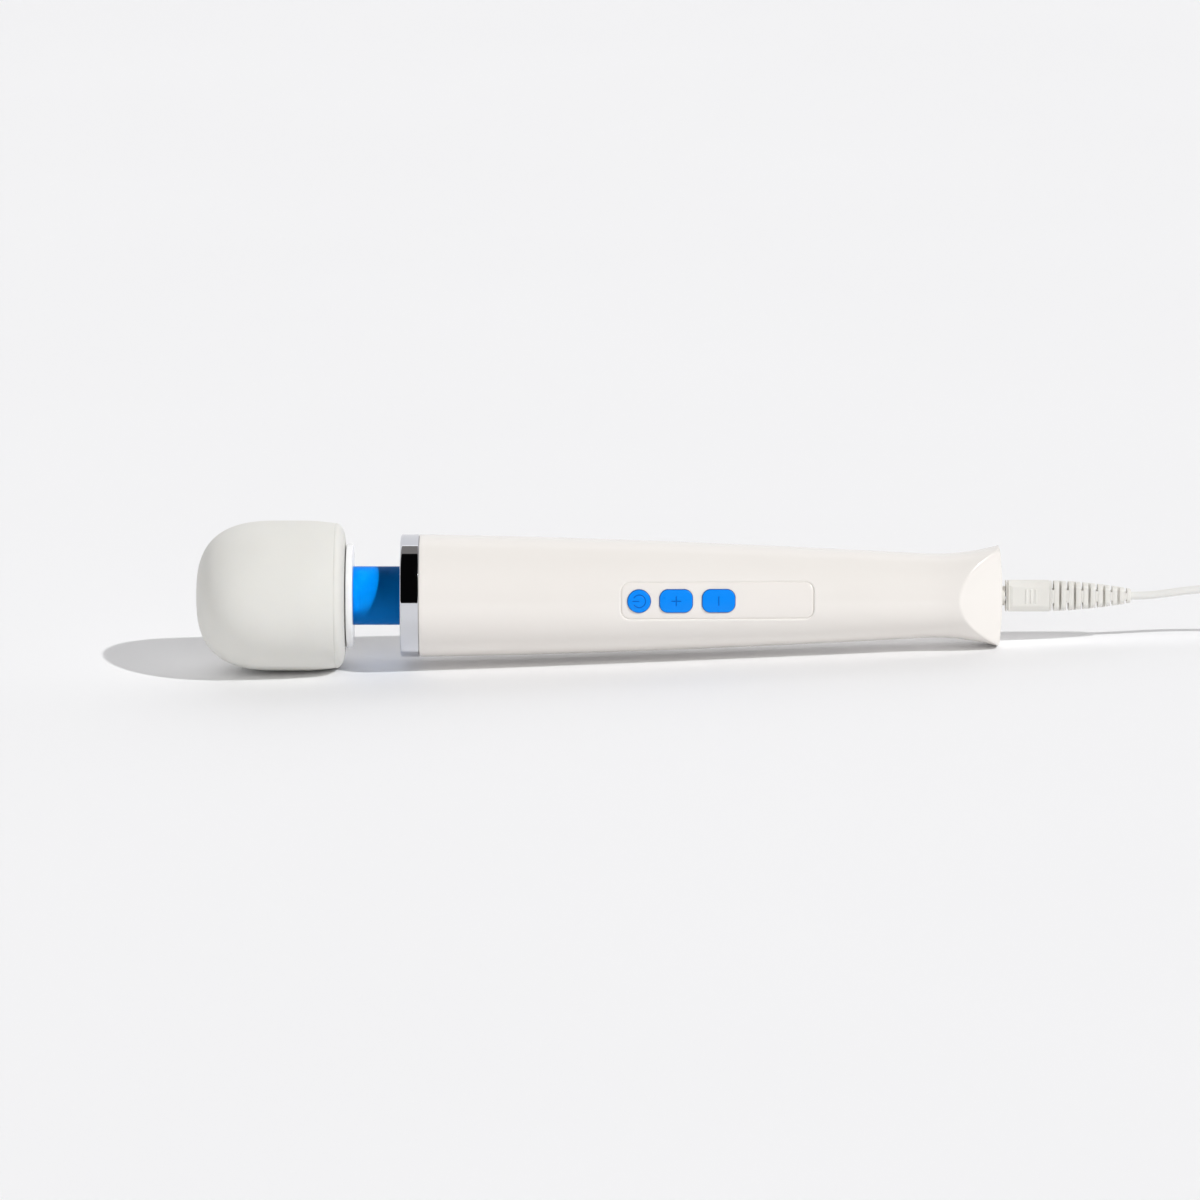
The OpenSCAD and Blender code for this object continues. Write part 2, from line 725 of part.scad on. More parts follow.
// ---- power inlet at the tail ----
inlet_r = 3.9;
inlet_x = tail_x - 16;
jack_r = 2.75;
jack_depth = 9.5;
inlet_nose = 1.2; // stands out of the end face
module dc_inlet() {
    color("#ece9e2") difference() {
        union() {
            bar(inlet_r, inlet_x, tail_x + inlet_nose);
            rounded_bar(13, 13, 1, inlet_x - 3, inlet_x + 0.5);
        }
        bar(jack_r + 0.05, tail_x + inlet_nose - jack_depth, tail_x + inlet_nose + 1);
        bar(0.95, inlet_x - 4, tail_x);
    }
}
module inlet_pin() {
    color("#c8b26a") bar(0.93, inlet_x - 5, tail_x + inlet_nose - 1.5);
}
lead_r = 0.8;
function lead_path(z, from, to, from_y, to_y) = [
    for (i = [0 : 12]) let (t = i / 12, s = t * t * (3 - 2 * t))
        [from + (to - from) * t, from_y + (to_y - from_y) * s + 1.6 * sin(360 * t) * sin(180 * t), z]
];
module inlet_leads() {
    for (k = [0, 1]) color(k == 0 ? "#b3261e" : "#1d1d1f") swept_tube(
        lead_path(k == 0 ? 3.4 : -3.4, inlet_x - 3.1, board_post_xs[1] - 3, 2, -board_y + board_t + lead_r),
        lead_r, 8);
}
module motor_leads() {
    for (k = [0, 1]) color(k == 0 ? "#b3261e" : "#1d1d1f") swept_tube(
        lead_path(k == 0 ? 9 : -9, motor_end + end_cap_t - 1.9, board_post_xs[0] + 6, 0,
            -board_y + board_t + lead_r + 0.1),
        lead_r, 8);
}

// ---- plug of the lead ----
plug_x = tail_x + inlet_nose + 0.4;
plug_end = plug_x + plug_len;
module lead_plug() {
    color("#e9e9e6") difference() {
        rounded_bar(plug_t, plug_w, 2.2, plug_x, plug_end);
        for (k = [0 : 2], side = [-1, 1])
            translate([plug_x + 7.6 + 1.9 * k, side * plug_t / 2, 0]) rounded_rib_cut();
        bar(jack_r + 0.01, plug_x - 1, plug_x + 3);
    }
}
module rounded_rib_cut() {
    translate([0, -0.35, -2.6]) cube([0.9, 0.7, 5.2]);
}
module plug_barrel() {
    color("#c9ccd0") ring(jack_r, 1.05, tail_x + inlet_nose - jack_depth + 0.6, plug_x + 2.9);
}
// The strain relief tapers from the plug to the lead. Slots cross it by turns from two sides.
relief_end = plug_end + relief_len;
relief_pitch = 5.85;
slot_w = 1.2;
function relief_at(t) = [
    plug_t + (5 - plug_t) * t * t,
    plug_w - 0.3 + (5.6 - plug_w + 0.3) * pow(t, 1.7)
];
relief_steps = 5;
module plug_relief() {
    core = 1.35;
    color("#e9e9e6") difference() {
        for (i = [0 : relief_steps - 1]) let (a = relief_at(i / relief_steps), b = relief_at((i + 1) / relief_steps))
            hull() {
                relief_slice(a, plug_end + relief_len * i / relief_steps);
                relief_slice(b, plug_end + relief_len * (i + 1) / relief_steps);
            }
        for (k = [0 : 4], side = [-1, 1])
            translate([plug_end + 3.6 + relief_pitch * k, side > 0 ? core : -core - 10, -10])
                cube([slot_w, 10, 20]);
        for (k = [0 : 5], side = [-1, 1])
            translate([plug_end + 0.7 + relief_pitch * k, -10, side > 0 ? core * 1.5 : -core * 1.5 - 10])
                cube([slot_w, 20, 10]);
    }
}
module relief_slice(size, x) {
    translate([x, 0, 0]) rotate([90, 0, 90]) linear_extrude(0.2, $fn = 24)
        rounded_2d(size[0], size[1], min(size) * 0.36);
}

// ---- lead, drawn where it lies on the table ----
// The lead's points were chosen for a wand this long from its middle to the inlet's nose.
drawn_half_len = 161.55;
module at_table() {
    translate([(tail_x + inlet_nose) / 2 - drawn_half_len, 0, 0]) children();
}
cord_r = cord_d / 2;
coil_x = 318;
coil_y = 24;
coil_rise = 0.5; // the tie's strap lies under the coil
// Middle line of the lead from the plug to the coil, chosen by hand.
lead_route = [
    [212, 0, 18.3], [217, 0, 18.2], [222, 0, 18.4], [228, 0, 19], [234, 0, 19.6], [240, 0, 20],
    [246, 0, 19.9], [252, 0, 19.1], [258, 0, 17.5], [264, 0, 15.1], [270, 0, 12.2], [276, 0, 9.1],
    [282, 0, 6.2], [288, 0, 3.9], [294, 0, 2.5], [300, 0, 2.1], [306, 0, 2.1]
];
// Middle line from the top of the coil to the wall adapter.
tail_route = [
    [327, 1.6, 11.7], [332, 1.6, 11.7], [338, 1.6, 11.9], [344, 1.6, 12.4], [350, 1.6, 12.8],
    [356, 1.6, 13], [362, 1.6, 13]
];
module cord_lead() {
    color("#e4e4e1") swept_tube(lead_route, cord_r, 8, [0, 1, 0]);
}
module cord_tail() {
    color("#e4e4e1") swept_tube(tail_route, cord_r, 8, [0, 1, 0]);
}
coil_mid = 6 * cord_d;
wide_turns = 4;
narrow_turns = 3;
module cord_coil() {
    wide = wide_turns * cord_d / 2;
    narrow = narrow_turns * cord_d / 2;
    color("#e4e4e1") translate([coil_x, coil_y, coil_rise]) rotate_extrude() polygon([
        [coil_mid - wide, 0], [coil_mid + wide, 0], [coil_mid + wide, 2 * cord_d],
        [coil_mid + narrow, 2 * cord_d], [coil_mid + narrow, 4 * cord_d],
        [coil_mid - narrow, 4 * cord_d], [coil_mid - narrow, 2 * cord_d],
        [coil_mid - wide, 2 * cord_d]
    ]);
}
tie_w = 7;
module cord_tie() {
    half = wide_turns * cord_d / 2 + 0.1;
    strap = 0.4;
    height = 4 * cord_d + coil_rise + 0.1;
    color("#d9d9d6") translate([coil_x - tie_w / 2, coil_y + coil_mid - half - strap, 0]) difference() {
        cube([tie_w, 2 * (half + strap), height + strap]);
        translate([-1, strap, coil_rise - fit]) cube([tie_w + 2, 2 * half, height - coil_rise + fit]);
    }
}

// ---- wall adapter at the end of the lead ----
adapter_x = 370;
adapter_y = 1.6;
adapter_len = 40;
adapter_w = 30;
adapter_h = 26;
adapter_face_t = 8;
blade = [17, 1.5, 6.3];
blade_gap = 12.7;
module at_adapter() {
    translate([adapter_x, adapter_y, adapter_h / 2]) children();
}
module adapter_case() {
    color("#efefec") at_adapter() difference() {
        rounded_bar(adapter_w, adapter_h, 4, 0, adapter_len - adapter_face_t);
        rounded_bar(adapter_w - 4, adapter_h - 4, 2.5, 2, adapter_len);
        bar(cord_r + 0.6, -1, 3);
    }
}
module adapter_face() {
    color("#efefec") at_adapter() difference() {
        rounded_bar(adapter_w, adapter_h, 4, adapter_len - adapter_face_t + 0.1, adapter_len);
        for (s = [-1, 1]) translate([adapter_len - 6, s * blade_gap / 2 - blade[1] / 2, -blade[2] / 2])
            cube([10, blade[1], blade[2]]);
    }
}
module adapter_blades() {
    color("#c2a95e") at_adapter() for (s = [-1, 1])
        translate([adapter_len - 5.5, s * blade_gap / 2 - blade[1] / 2 + 0.02, -blade[2] / 2 + 0.02])
            cube([blade[0] + 5.5, blade[1] - 0.04, blade[2] - 0.04]);
}
module adapter_relief() {
    color("#efefec") at_adapter() turned([
        [cord_r + 0.05, -14], [cord_r + 1, -14], [cord_r + 2.2, -2], [4.4, -0.1], [cord_r + 0.05, -0.1]
    ]);
}

at_rest() head_cap();
at_rest() head_shell();
at_rest() head_base();
at_rest() head_screws();
at_rest() head_trim_plate();
at_rest() bearing_outer_rings();
at_rest() bearing_inner_rings();
at_rest() bearing_balls();
at_rest() eccentric_weight();
at_rest() eccentric_shaft();
at_rest() shaft_ferrule();
at_rest() neck_sleeve();
at_rest() neck_spring();
at_rest() neck_clamp();
at_rest() clamp_screws();
at_rest() neck_plate();
at_rest() collar_ring();
at_rest() drive_coupling();
at_rest() flex_shaft();
at_rest() motor_can();
at_rest() motor_end_cap();
at_rest() motor_bushes();
at_rest() motor_magnets();
at_rest() armature_core();
at_rest() armature_windings();
at_rest() commutator();
at_rest() motor_shaft();
at_rest() motor_brushes();
at_rest() motor_isolators();
at_rest() front_shell();
at_rest() rear_shell();
at_rest() shell_screws();
at_rest() button_panel();
at_rest() power_button();
at_rest() plus_button();
at_rest() minus_button();
at_rest() power_plunger();
at_rest() plus_plunger();
at_rest() minus_plunger();
at_rest() switch_bodies();
at_rest() control_board();
at_rest() board_screws();
at_rest() indicator_leds();
at_rest() dc_inlet();
at_rest() inlet_pin();
at_rest() inlet_leads();
at_rest() motor_leads();
at_rest() lead_plug();
at_rest() plug_barrel();
at_rest() plug_relief();
at_table() cord_lead();
at_table() cord_coil();
at_table() cord_tail();
at_table() cord_tie();
at_table() adapter_case();
at_table() adapter_face();
at_table() adapter_blades();
at_table() adapter_relief();
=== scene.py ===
import math

import bpy
import numpy as np
from mathutils import Matrix, Vector


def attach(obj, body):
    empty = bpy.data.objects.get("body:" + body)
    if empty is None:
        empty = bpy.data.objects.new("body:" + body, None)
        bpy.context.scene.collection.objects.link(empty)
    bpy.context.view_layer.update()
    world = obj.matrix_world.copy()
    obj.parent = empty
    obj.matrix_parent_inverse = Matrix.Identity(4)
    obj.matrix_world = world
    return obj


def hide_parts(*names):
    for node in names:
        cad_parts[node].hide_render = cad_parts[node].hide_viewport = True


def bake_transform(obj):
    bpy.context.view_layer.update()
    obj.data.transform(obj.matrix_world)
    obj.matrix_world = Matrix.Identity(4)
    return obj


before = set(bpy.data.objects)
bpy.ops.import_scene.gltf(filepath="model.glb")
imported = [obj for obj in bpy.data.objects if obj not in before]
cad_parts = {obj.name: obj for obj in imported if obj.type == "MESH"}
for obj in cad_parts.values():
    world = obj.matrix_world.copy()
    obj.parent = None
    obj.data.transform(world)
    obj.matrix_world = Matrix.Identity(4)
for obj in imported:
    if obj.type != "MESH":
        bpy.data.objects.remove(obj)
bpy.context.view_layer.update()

# ---- Table, light and camera ----
# The wand lies on a plain pale table in a white studio. A hard lamp stands to the right and a
# little to the front; the pale back wall and the dark room above show in the polished collar.
SCENE = bpy.context.scene
VIEW_RISE = math.radians(14)
VIEW_DISTANCE = 2.4
AXIS_FALL = math.radians(2.024634)  # the wand's axis falls this much towards its tail


def srgb(red, green, blue):
    """A colour given as screen values from 0 to 255, as linear light with full alpha."""
    levels = np.array([red, green, blue]) / 255
    light = np.where(levels <= 0.04045, levels / 12.92, ((levels + 0.055) / 1.055) ** 2.4)
    return (*light.tolist(), 1.0)


class Strand:
    """One socket in a material's nodes. Sums and products of strands add Math nodes."""

    def __init__(self, tree, socket=None):
        self.tree, self.socket = tree, socket

    def node(self, kind, sockets=(), out=0, **settings):
        """Adds a node: its settings first, then a value or a strand for each of its sockets."""
        made = self.tree.nodes.new(kind)
        for name, value in settings.items():
            setattr(made, name, value)
        for key, value in dict(sockets).items():
            if isinstance(value, Strand):
                self.tree.links.new(value.socket, made.inputs[key])
            else:
                made.inputs[key].default_value = value
        return Strand(self.tree, made.outputs[out])

    def sum_of(self, operation, first, second):
        return self.node("ShaderNodeMath", {0: first, 1: second}, operation=operation)

    def __radd__(self, other):
        return self.sum_of("ADD", other, self)

    def __sub__(self, other):
        return self.sum_of("SUBTRACT", self, other)

    def __rsub__(self, other):
        return self.sum_of("SUBTRACT", other, self)

    def __rmul__(self, other):
        return self.sum_of("MULTIPLY", other, self)

    __add__ = __radd__

    def step(self, low, high):
        """0 below low, 1 above high, and a smooth rise between them."""
        return self.node(
            "ShaderNodeMapRange",
            {"Value": self, "From Min": low, "From Max": high},
            interpolation_type="SMOOTHSTEP",
        )

    def output(self, index):
        """The strand from another output of the same node."""
        return Strand(self.tree, self.socket.node.outputs[index])

    def between(self, first, second):
        """The colour that lies this far from the first towards the second."""
        return self.node(
            "ShaderNodeMix", {0: self, 6: first, 7: second}, out=2, data_type="RGBA"
        )


def noise(start, size, detail=2.0, rough=0.5, stretch=(1, 1, 1)):
    """Cloudy values from 0 to 1 whose lumps are about size metres across."""
    place = start.node("ShaderNodeTexCoord", out=3)
    spread = start.node(
        "ShaderNodeMapping", {"Vector": place, "Scale": stretch}, vector_type="POINT"
    )
    return start.node(
        "ShaderNodeTexNoise",
        {"Vector": spread, "Scale": 1 / size, "Detail": detail, "Roughness": rough},
    )


def new_finish(name, **constants):
    """A material with its shader's constant sockets set. Returns material, shader and strand."""
    material = bpy.data.materials.new(name)
    material.use_nodes = True
    shader = material.node_tree.nodes["Principled BSDF"]
    for key, value in constants.items():
        shader.inputs[key.replace("_", " ")].default_value = value
    return material, shader, Strand(material.node_tree)


def wire(shader, **inputs):
    """Joins strands to the shader's sockets."""
    for key, strand in inputs.items():
        strand.tree.links.new(strand.socket, shader.inputs[key.replace("_", " ")])


def bump(start, height, depth):
    """A normal that follows height, a strand from 0 to 1 that stands for depth metres."""
    return start.node("ShaderNodeBump", {"Height": height, "Distance": depth})


bpy.ops.mesh.primitive_plane_add(size=16, location=(0, 0, 0))
table = bpy.context.object
table.name = "table"
table_finish, table_shader, t = new_finish("table_paper", Roughness=0.75, Specular_IOR_Level=0.25)
wire(table_shader, Base_Color=noise(t, 0.4).between(srgb(244, 244, 245), srgb(247, 247, 248)))
table.data.materials.append(table_finish)

world = bpy.data.worlds.new("studio")
SCENE.world = world
world.use_nodes = True
sky = Strand(world.node_tree)
direction = sky.node("ShaderNodeTexCoord", out=0)
split = sky.node("ShaderNodeSeparateXYZ", {"Vector": direction})
forward, upward = split.output(1), split.output(2)
# the pale wall behind is 58 degrees high, and a brown-grey strip of ceiling meets the dark
wall = (forward - 0.615 * upward).step(-0.006, 0.006)
strip = (forward - 0.17 * upward).step(-0.02, 0.02)
lamp_row = wall - (forward - 0.66 * upward).step(-0.006, 0.006)
floor_edge = 1 - upward.step(-0.02, 0.0)
wall_white = (0.93, 0.93, 0.95, 1)
sky_colour = strip.between((0.003, 0.0028, 0.003, 1), (0.26, 0.245, 0.235, 1))
sky_colour = wall.between(sky_colour, wall_white)
sky_colour = lamp_row.between(sky_colour, (1.5, 1.5, 1.5, 1))
sky_colour = floor_edge.between(sky_colour, wall_white)
background = world.node_tree.nodes["Background"]
world.node_tree.links.new(sky_colour.socket, background.inputs["Color"])
background.inputs["Strength"].default_value = 0.9


def lamp(name, power, place, width, shine=True):
    """A far lamp that shines from place, in metres, to the wand, and looks width degrees wide."""
    data = bpy.data.lights.new(name, "SUN")
    data.energy = power
    data.angle = math.radians(width)
    made = bpy.data.objects.new(name, data)
    SCENE.collection.objects.link(made)
    made.location = place
    made.rotation_euler = (-Vector(place)).to_track_quat("-Z", "Y").to_euler()
    made.visible_glossy = shine
    return made


KEY_PLACE, KEY_WIDTH, FILL_WIDTH = (1.5, -1.12, 1.65), 1.2, 70
lamp("key_lamp", 1.95, KEY_PLACE, KEY_WIDTH)
front_fill = lamp("front_fill", 1.15, (-0.45, -1.5, 1.1), FILL_WIDTH, shine=False)
back_fill = lamp("back_fill", 0.48, (0.2, 1.3, 1.6), FILL_WIDTH, shine=False)

ahead = Vector((0, math.cos(VIEW_RISE), -math.sin(VIEW_RISE)))
along = Vector((math.cos(AXIS_FALL), 0, -math.sin(AXIS_FALL)))
right = (along - along.dot(ahead) * ahead).normalized()
top = right.cross(ahead)
aim = Vector((-0.0005, 0, 0.0240))
camera_data = bpy.data.cameras.new("camera")
camera_data.lens = 180
camera_data.sensor_width = 36
camera_data.clip_end = 50
camera = bpy.data.objects.new("camera", camera_data)
SCENE.collection.objects.link(camera)
spot = aim - VIEW_DISTANCE * ahead
camera.matrix_world = Matrix(
    [[right[k], top[k], -ahead[k], spot[k]] for k in range(3)] + [[0, 0, 0, 1]])
SCENE.camera = camera
SCENE.view_settings.view_transform = "Standard"
SCENE.view_settings.look = "None"

# ---- Power lead ----
# A soft white two-core lead, 3.2 mm thick and about 1.8 m long. It leaves the plug's strain
# relief, droops to the table and is wound into a neat coil past the edge of the view, and its
# other end goes into the wall adapter. One strap holds the coil.
CORD_R = 1.6
COIL_AT = np.array([318.0, 24.0])
COIL_MID = 19.2
COIL_RISE = 0.5
LEAD_HEIGHTS = (18.4, 19, 19.6, 20, 19.9, 19.1, 17.5, 15.1, 12.2, 9.1, 6.2, 3.9, 2.5, 2.1, 2.1, 2.1)
LEAD_ROUTE = np.array([[206.5, 0, 18.5], [212, 0, 18.3], [217, 0, 18.2]]
                      + [[222 + 6 * k, 0, z] for k, z in enumerate(LEAD_HEIGHTS)])
TAIL_ROUTE = np.array([
    [324, 1.6, 11.7], [332, 1.6, 11.7], [338, 1.6, 11.9], [344, 1.6, 12.4], [350, 1.6, 12.8],
    [356, 1.6, 13], [362, 1.6, 13], [369, 1.6, 13],
])


def smooth_line(points, step):
    """A Catmull-Rom curve through the points, with about step between its samples."""
    padded = np.vstack([2 * points[0] - points[1], points, 2 * points[-1] - points[-2]])
    runs = np.linalg.norm(np.diff(points, axis=0), axis=1)
    count = max(2, int(round(runs.sum() / step)))
    at = np.interp(np.linspace(0, runs.sum(), count + 1), np.r_[0, np.cumsum(runs)],
                   np.arange(len(points)))
    k = np.minimum(at.astype(int), len(points) - 2)
    f = (at - k)[:, None]
    a, b, c, d = (padded[k + n] for n in range(4))
    return 0.5 * (2 * b + (c - a) * f + (2 * a - 5 * b + 4 * c - d) * f**2
                  + (3 * b - a - 3 * c + d) * f**3)


def wound_coil(steps):
    """Turn after turn about the coil's centre. In the last fifth of each turn the radius and
    height slide smoothly to those of the next turn, a diameter further."""
    d = 2 * CORD_R
    radii = [COIL_MID + d * k for k in (1.5, 0.5, -0.5, -1.5, -1.5, -0.5, 0.5, 1.5)]
    heights = [0] * 4 + [1] * 4
    radii += [COIL_MID + d * k for k in (1, 0, -1, -1, 0, 1)]
    heights += [2] * 3 + [3] * 3
    radii, heights = np.array(radii + radii[-1:]), np.array(heights + heights[-1:])
    turn = np.arange(14 * steps + 1) / steps
    k = np.minimum(turn.astype(int), 13)
    f = np.clip((turn - k - 0.8) / 0.2, 0, 1)
    f = f * f * (3 - 2 * f)
    radius = radii[k] + (radii[k + 1] - radii[k]) * f
    height = COIL_RISE + CORD_R + d * (heights[k] + (heights[k + 1] - heights[k]) * f)
    angle = 2 * np.pi * turn - np.pi / 2
    return np.stack([COIL_AT[0] + radius * np.cos(angle), COIL_AT[1] + radius * np.sin(angle),
                     height], 1)


def build_mesh(name, points, faces, sharp=38):
    """Puts metres and quads into a mesh object, turned so that its faces look outwards. A quad
    that ends on the same point twice is a triangle."""
    a, b, c, d = (points[faces[:, k]] for k in range(4))
    if (np.cross(b, c) * a + np.cross(c, d) * a).sum() < 0:
        faces = faces[:, ::-1]
    mesh = bpy.data.meshes.new(name)
    mesh.vertices.add(len(points))
    mesh.vertices.foreach_set("co", points.astype(np.float32).ravel())
    size = np.where(faces[:, 3] == faces[:, 2], 3, 4)
    loops = faces[np.arange(4) < size[:, None]]
    mesh.loops.add(len(loops))
    mesh.loops.foreach_set("vertex_index", loops.astype(np.int32))
    mesh.polygons.add(len(faces))
    mesh.polygons.foreach_set("loop_start", np.r_[0, np.cumsum(size)[:-1]].astype(np.int32))
    mesh.update(calc_edges=True)
    mesh.validate()
    mesh.shade_smooth()
    mesh.set_sharp_from_angle(angle=math.radians(sharp))
    made = bpy.data.objects.new(name, mesh)
    SCENE.collection.objects.link(made)
    return made


def grid_faces(rows, columns, along=False):
    """Quads between neighbouring points of a grid, closed around, and along where asked."""
    i = np.arange(rows if along else rows - 1)[:, None]
    j = np.arange(columns)[None, :]
    i2, j2 = (i + 1) % rows, (j + 1) % columns
    quads = np.stack([i * columns + j, i * columns + j2, i2 * columns + j2, i2 * columns + j], -1)
    return quads.reshape(-1, 4)


def closed_tube(grid):
    """Points and faces of a grid of rings. Each open end is closed with a fan to its middle."""
    rows, columns = grid.shape[:2]
    points, faces = grid.reshape(-1, 3), [grid_faces(rows, columns)]
    j = np.arange(columns)
    for row, centre in ((0, len(points)), (rows - 1, len(points) + 1)):
        a, b = row * columns + j, row * columns + (j + 1) % columns
        c = np.full(columns, centre)
        faces.append(np.stack([b, a, c, c] if row == 0 else [a, b, c, c], 1))
    return np.vstack([points, grid[0].mean(0), grid[-1].mean(0)]), np.vstack(faces)


def tube_rings(line, radius, sides, start):
    """Rings square to the line. The ring's first direction leans on start all the way."""
    heading = np.gradient(line, axis=0)
    heading /= np.linalg.norm(heading, axis=1, keepdims=True)
    first = np.cross(heading, start)
    first /= np.linalg.norm(first, axis=1, keepdims=True)
    second = np.cross(heading, first)
    turn = 2 * np.pi * np.arange(sides) / sides
    radius = np.broadcast_to(np.asarray(radius, float), len(line))[:, None, None]
    return line[:, None] + radius * (np.cos(turn)[None, :, None] * first[:, None]
                                     + np.sin(turn)[None, :, None] * second[:, None])


def seat(piece, material, body, slot, *nodes):
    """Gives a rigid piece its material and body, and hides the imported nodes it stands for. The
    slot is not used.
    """
    piece.data.materials.append(material)
    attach(piece, body)
    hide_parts(*nodes)


cord_line = np.vstack([
    smooth_line(LEAD_ROUTE, 2.4)[:-1],
    wound_coil(56),
    smooth_line(TAIL_ROUTE, 2.4)[1:],
])
cord_points, cord_faces = closed_tube(tube_rings(cord_line, CORD_R, 14, np.array([0, 0, 1.0])))
lead = build_mesh("power_lead", cord_points / 1000, cord_faces)

lead_finish, lead_shader, t = new_finish(
    "lead_sleeve", IOR=1.5, Subsurface_Weight=0.08, Subsurface_Radius=(0.002, 0.0016, 0.0013))
grime = noise(t, 0.012, 3.0, 0.6)
wire(
    lead_shader,
    Base_Color=grime.between(srgb(229, 228, 224), srgb(236, 235, 232)),
    Roughness=0.36 + 0.12 * noise(t, 0.006),
    Normal=bump(t, noise(t, 0.0007), 0.00003),
)
seat(lead, lead_finish, "handle", "lead_white", "cord_lead", "cord_coil", "cord_tail")

# ---- Soft head cap ----
# A hollow off-white silicone dome, 60 mm across with 4 mm walls, moulded in one piece and
# stretched over the head's shell. A fine parting line runs round it just before its rear lip.
WAND_MID = 161.55
REST_HEIGHT = 31.521116
REST_ROLL = math.radians(-8)
HEAD_R, CROWN_X, CROWN_END, DOME_POWER = 30.0, 34.0, 42.0, 2.8


def to_row(points):
    """The wand's millimetres as the row's metres: rolled about x, tilted about y, lifted."""
    x, y, z = np.moveaxis(np.asarray(points, float), -1, 0)
    y, z = (y * math.cos(REST_ROLL) - z * math.sin(REST_ROLL),
            y * math.sin(REST_ROLL) + z * math.cos(REST_ROLL))
    x, z = (x * math.cos(AXIS_FALL) + z * math.sin(AXIS_FALL),
            z * math.cos(AXIS_FALL) - x * math.sin(AXIS_FALL))
    return np.stack([x - WAND_MID, y, z + REST_HEIGHT], -1) / 1000


def softened(corners):
    """A closed profile through [radius, x, rounding] corners. Each rounding is an arc of
    chords, with a point a little before and after it so that the flats beside it stay flat."""
    out = []
    corners = np.array(corners, float)
    for k, (r, x, f) in enumerate(corners):
        p = np.array([r, x])
        a = corners[k - 1, :2] - p
        b = corners[(k + 1) % len(corners), :2] - p
        la, lb = np.linalg.norm(a), np.linalg.norm(b)
        a, b = a / la, b / lb
        opening = math.acos(np.clip(a @ b, -1, 1))
        reach = f / math.tan(opening / 2)
        middle = p + (a + b) / np.linalg.norm(a + b) * f / math.sin(opening / 2)
        first, last = p + a * reach - middle, p + b * reach - middle
        sweep = math.pi - opening
        out.append(p + a * (reach + min(0.12, 0.2 * (la - reach))))
        for q in np.linspace(0, 1, 7):
            out.append(middle + (math.sin((1 - q) * sweep) * first
                                 + math.sin(q * sweep) * last) / math.sin(sweep))
        out.append(p + b * (reach + min(0.12, 0.2 * (lb - reach))))
    return np.array(out)


def turned_piece(name, profile, loop=False, sides=176, sharp=38):
    """A solid turned from a profile of [radius, x]. A loop profile closes on itself, any other
    has both ends on the axis."""
    turn = 2 * np.pi * np.arange(sides) / sides
    r, x = profile[:, :1], profile[:, 1:]
    grid = to_row(np.stack([x + 0 * turn, -r * np.sin(turn), r * np.cos(turn)], -1))
    if not loop:
        return build_mesh(name, *closed_tube(grid), sharp=sharp)
    faces = grid_faces(len(profile), sides, along=True)
    return build_mesh(name, grid.reshape(-1, 3), faces, sharp=sharp)


def dome(length, radius, start):
    """Half a superellipse of power 2.8, from near its pole to its equator."""
    angle = np.pi / 2 * np.linspace(0.02, 1, 64) ** 1.25
    return np.stack([radius * np.sin(angle) ** (2 / DOME_POWER),
                     start + length * (1 - np.cos(angle) ** (2 / DOME_POWER))], 1)


belly = np.linspace(0, 1, 9)[1:]
waist = np.stack([HEAD_R - belly**2, CROWN_END + 13 * belly], 1)
parting = np.array([[28.97, 55.2], [28.82, 55.32], [28.82, 55.5], [28.93, 55.62]])
lip_turn = np.pi / 2 * np.linspace(0.05, 1, 12)
lip = np.stack([21.25 + 7.7 * np.cos(lip_turn) ** 0.9, 55.75 + 3.75 * np.sin(lip_turn)], 1)
cap_profile = np.vstack([
    dome(CROWN_X, HEAD_R, 0), [[HEAD_R, CROWN_END]], waist, parting, lip,
    [[21, 59.3], [21, 56.5], [26.1, 56.5]], dome(29, 26.1, 4.9)[::-1],
])
cap = turned_piece("soft_head_cap", cap_profile, sides=200, sharp=50)
silicone, silicone_shader, t = new_finish(
    "cap_silicone", IOR=1.41, Subsurface_Weight=0.12, Subsurface_Radius=(0.003, 0.0024, 0.0018),
    Specular_IOR_Level=0.42, Sheen_Weight=0.06)
haze = noise(t, 0.02, 3.0, 0.55)
wire(
    silicone_shader,
    Base_Color=haze.between(srgb(225, 224, 219), srgb(231, 230, 225)),
    Roughness=0.5 + 0.14 * noise(t, 0.009, 3.0),
    Normal=bump(t, noise(t, 0.00035, 3.0, 0.7), 0.000035),
)
seat(cap, silicone, "head", "soft_silicone_white", "head_cap")

# ---- Plate behind the head ----
# A thin polished white plastic disc with rounded edges, snapped on behind the cap. It hides
# the head's screws and the front end of the neck.
plate = turned_piece("head_plate", softened([
    [11.9, 60.0, 0.2], [20.75, 60.0, 0.5], [20.75, 62.7, 0.8], [11.9, 62.7, 0.25]]), True)
gloss, gloss_shader, t = new_finish(
    "polished_white", IOR=1.49, Coat_Weight=0.25, Coat_Roughness=0.04)
handling = noise(t, 0.018, 4.0, 0.6)
wire(
    gloss_shader,
    Base_Color=noise(t, 0.05).between(srgb(238, 233, 228), srgb(243, 239, 234)),
    Roughness=0.16 + 0.12 * handling.step(0.35, 0.8),
    Normal=bump(t, noise(t, 0.004, 1.0), 0.000006),
)
plate_finish, plate_shader, t = new_finish("plate_white", IOR=1.49, Coat_Weight=0.2)
wire(
    plate_shader,
    Base_Color=noise(t, 0.01).between(srgb(247, 247, 248), srgb(251, 251, 252)),
    Roughness=0.2 + 0.1 * noise(t, 0.006, 3.0),
    Normal=bump(t, noise(t, 0.003, 1.0), 0.000006),
)
seat(plate, plate_finish, "head", "gloss_white", "head_trim_plate")

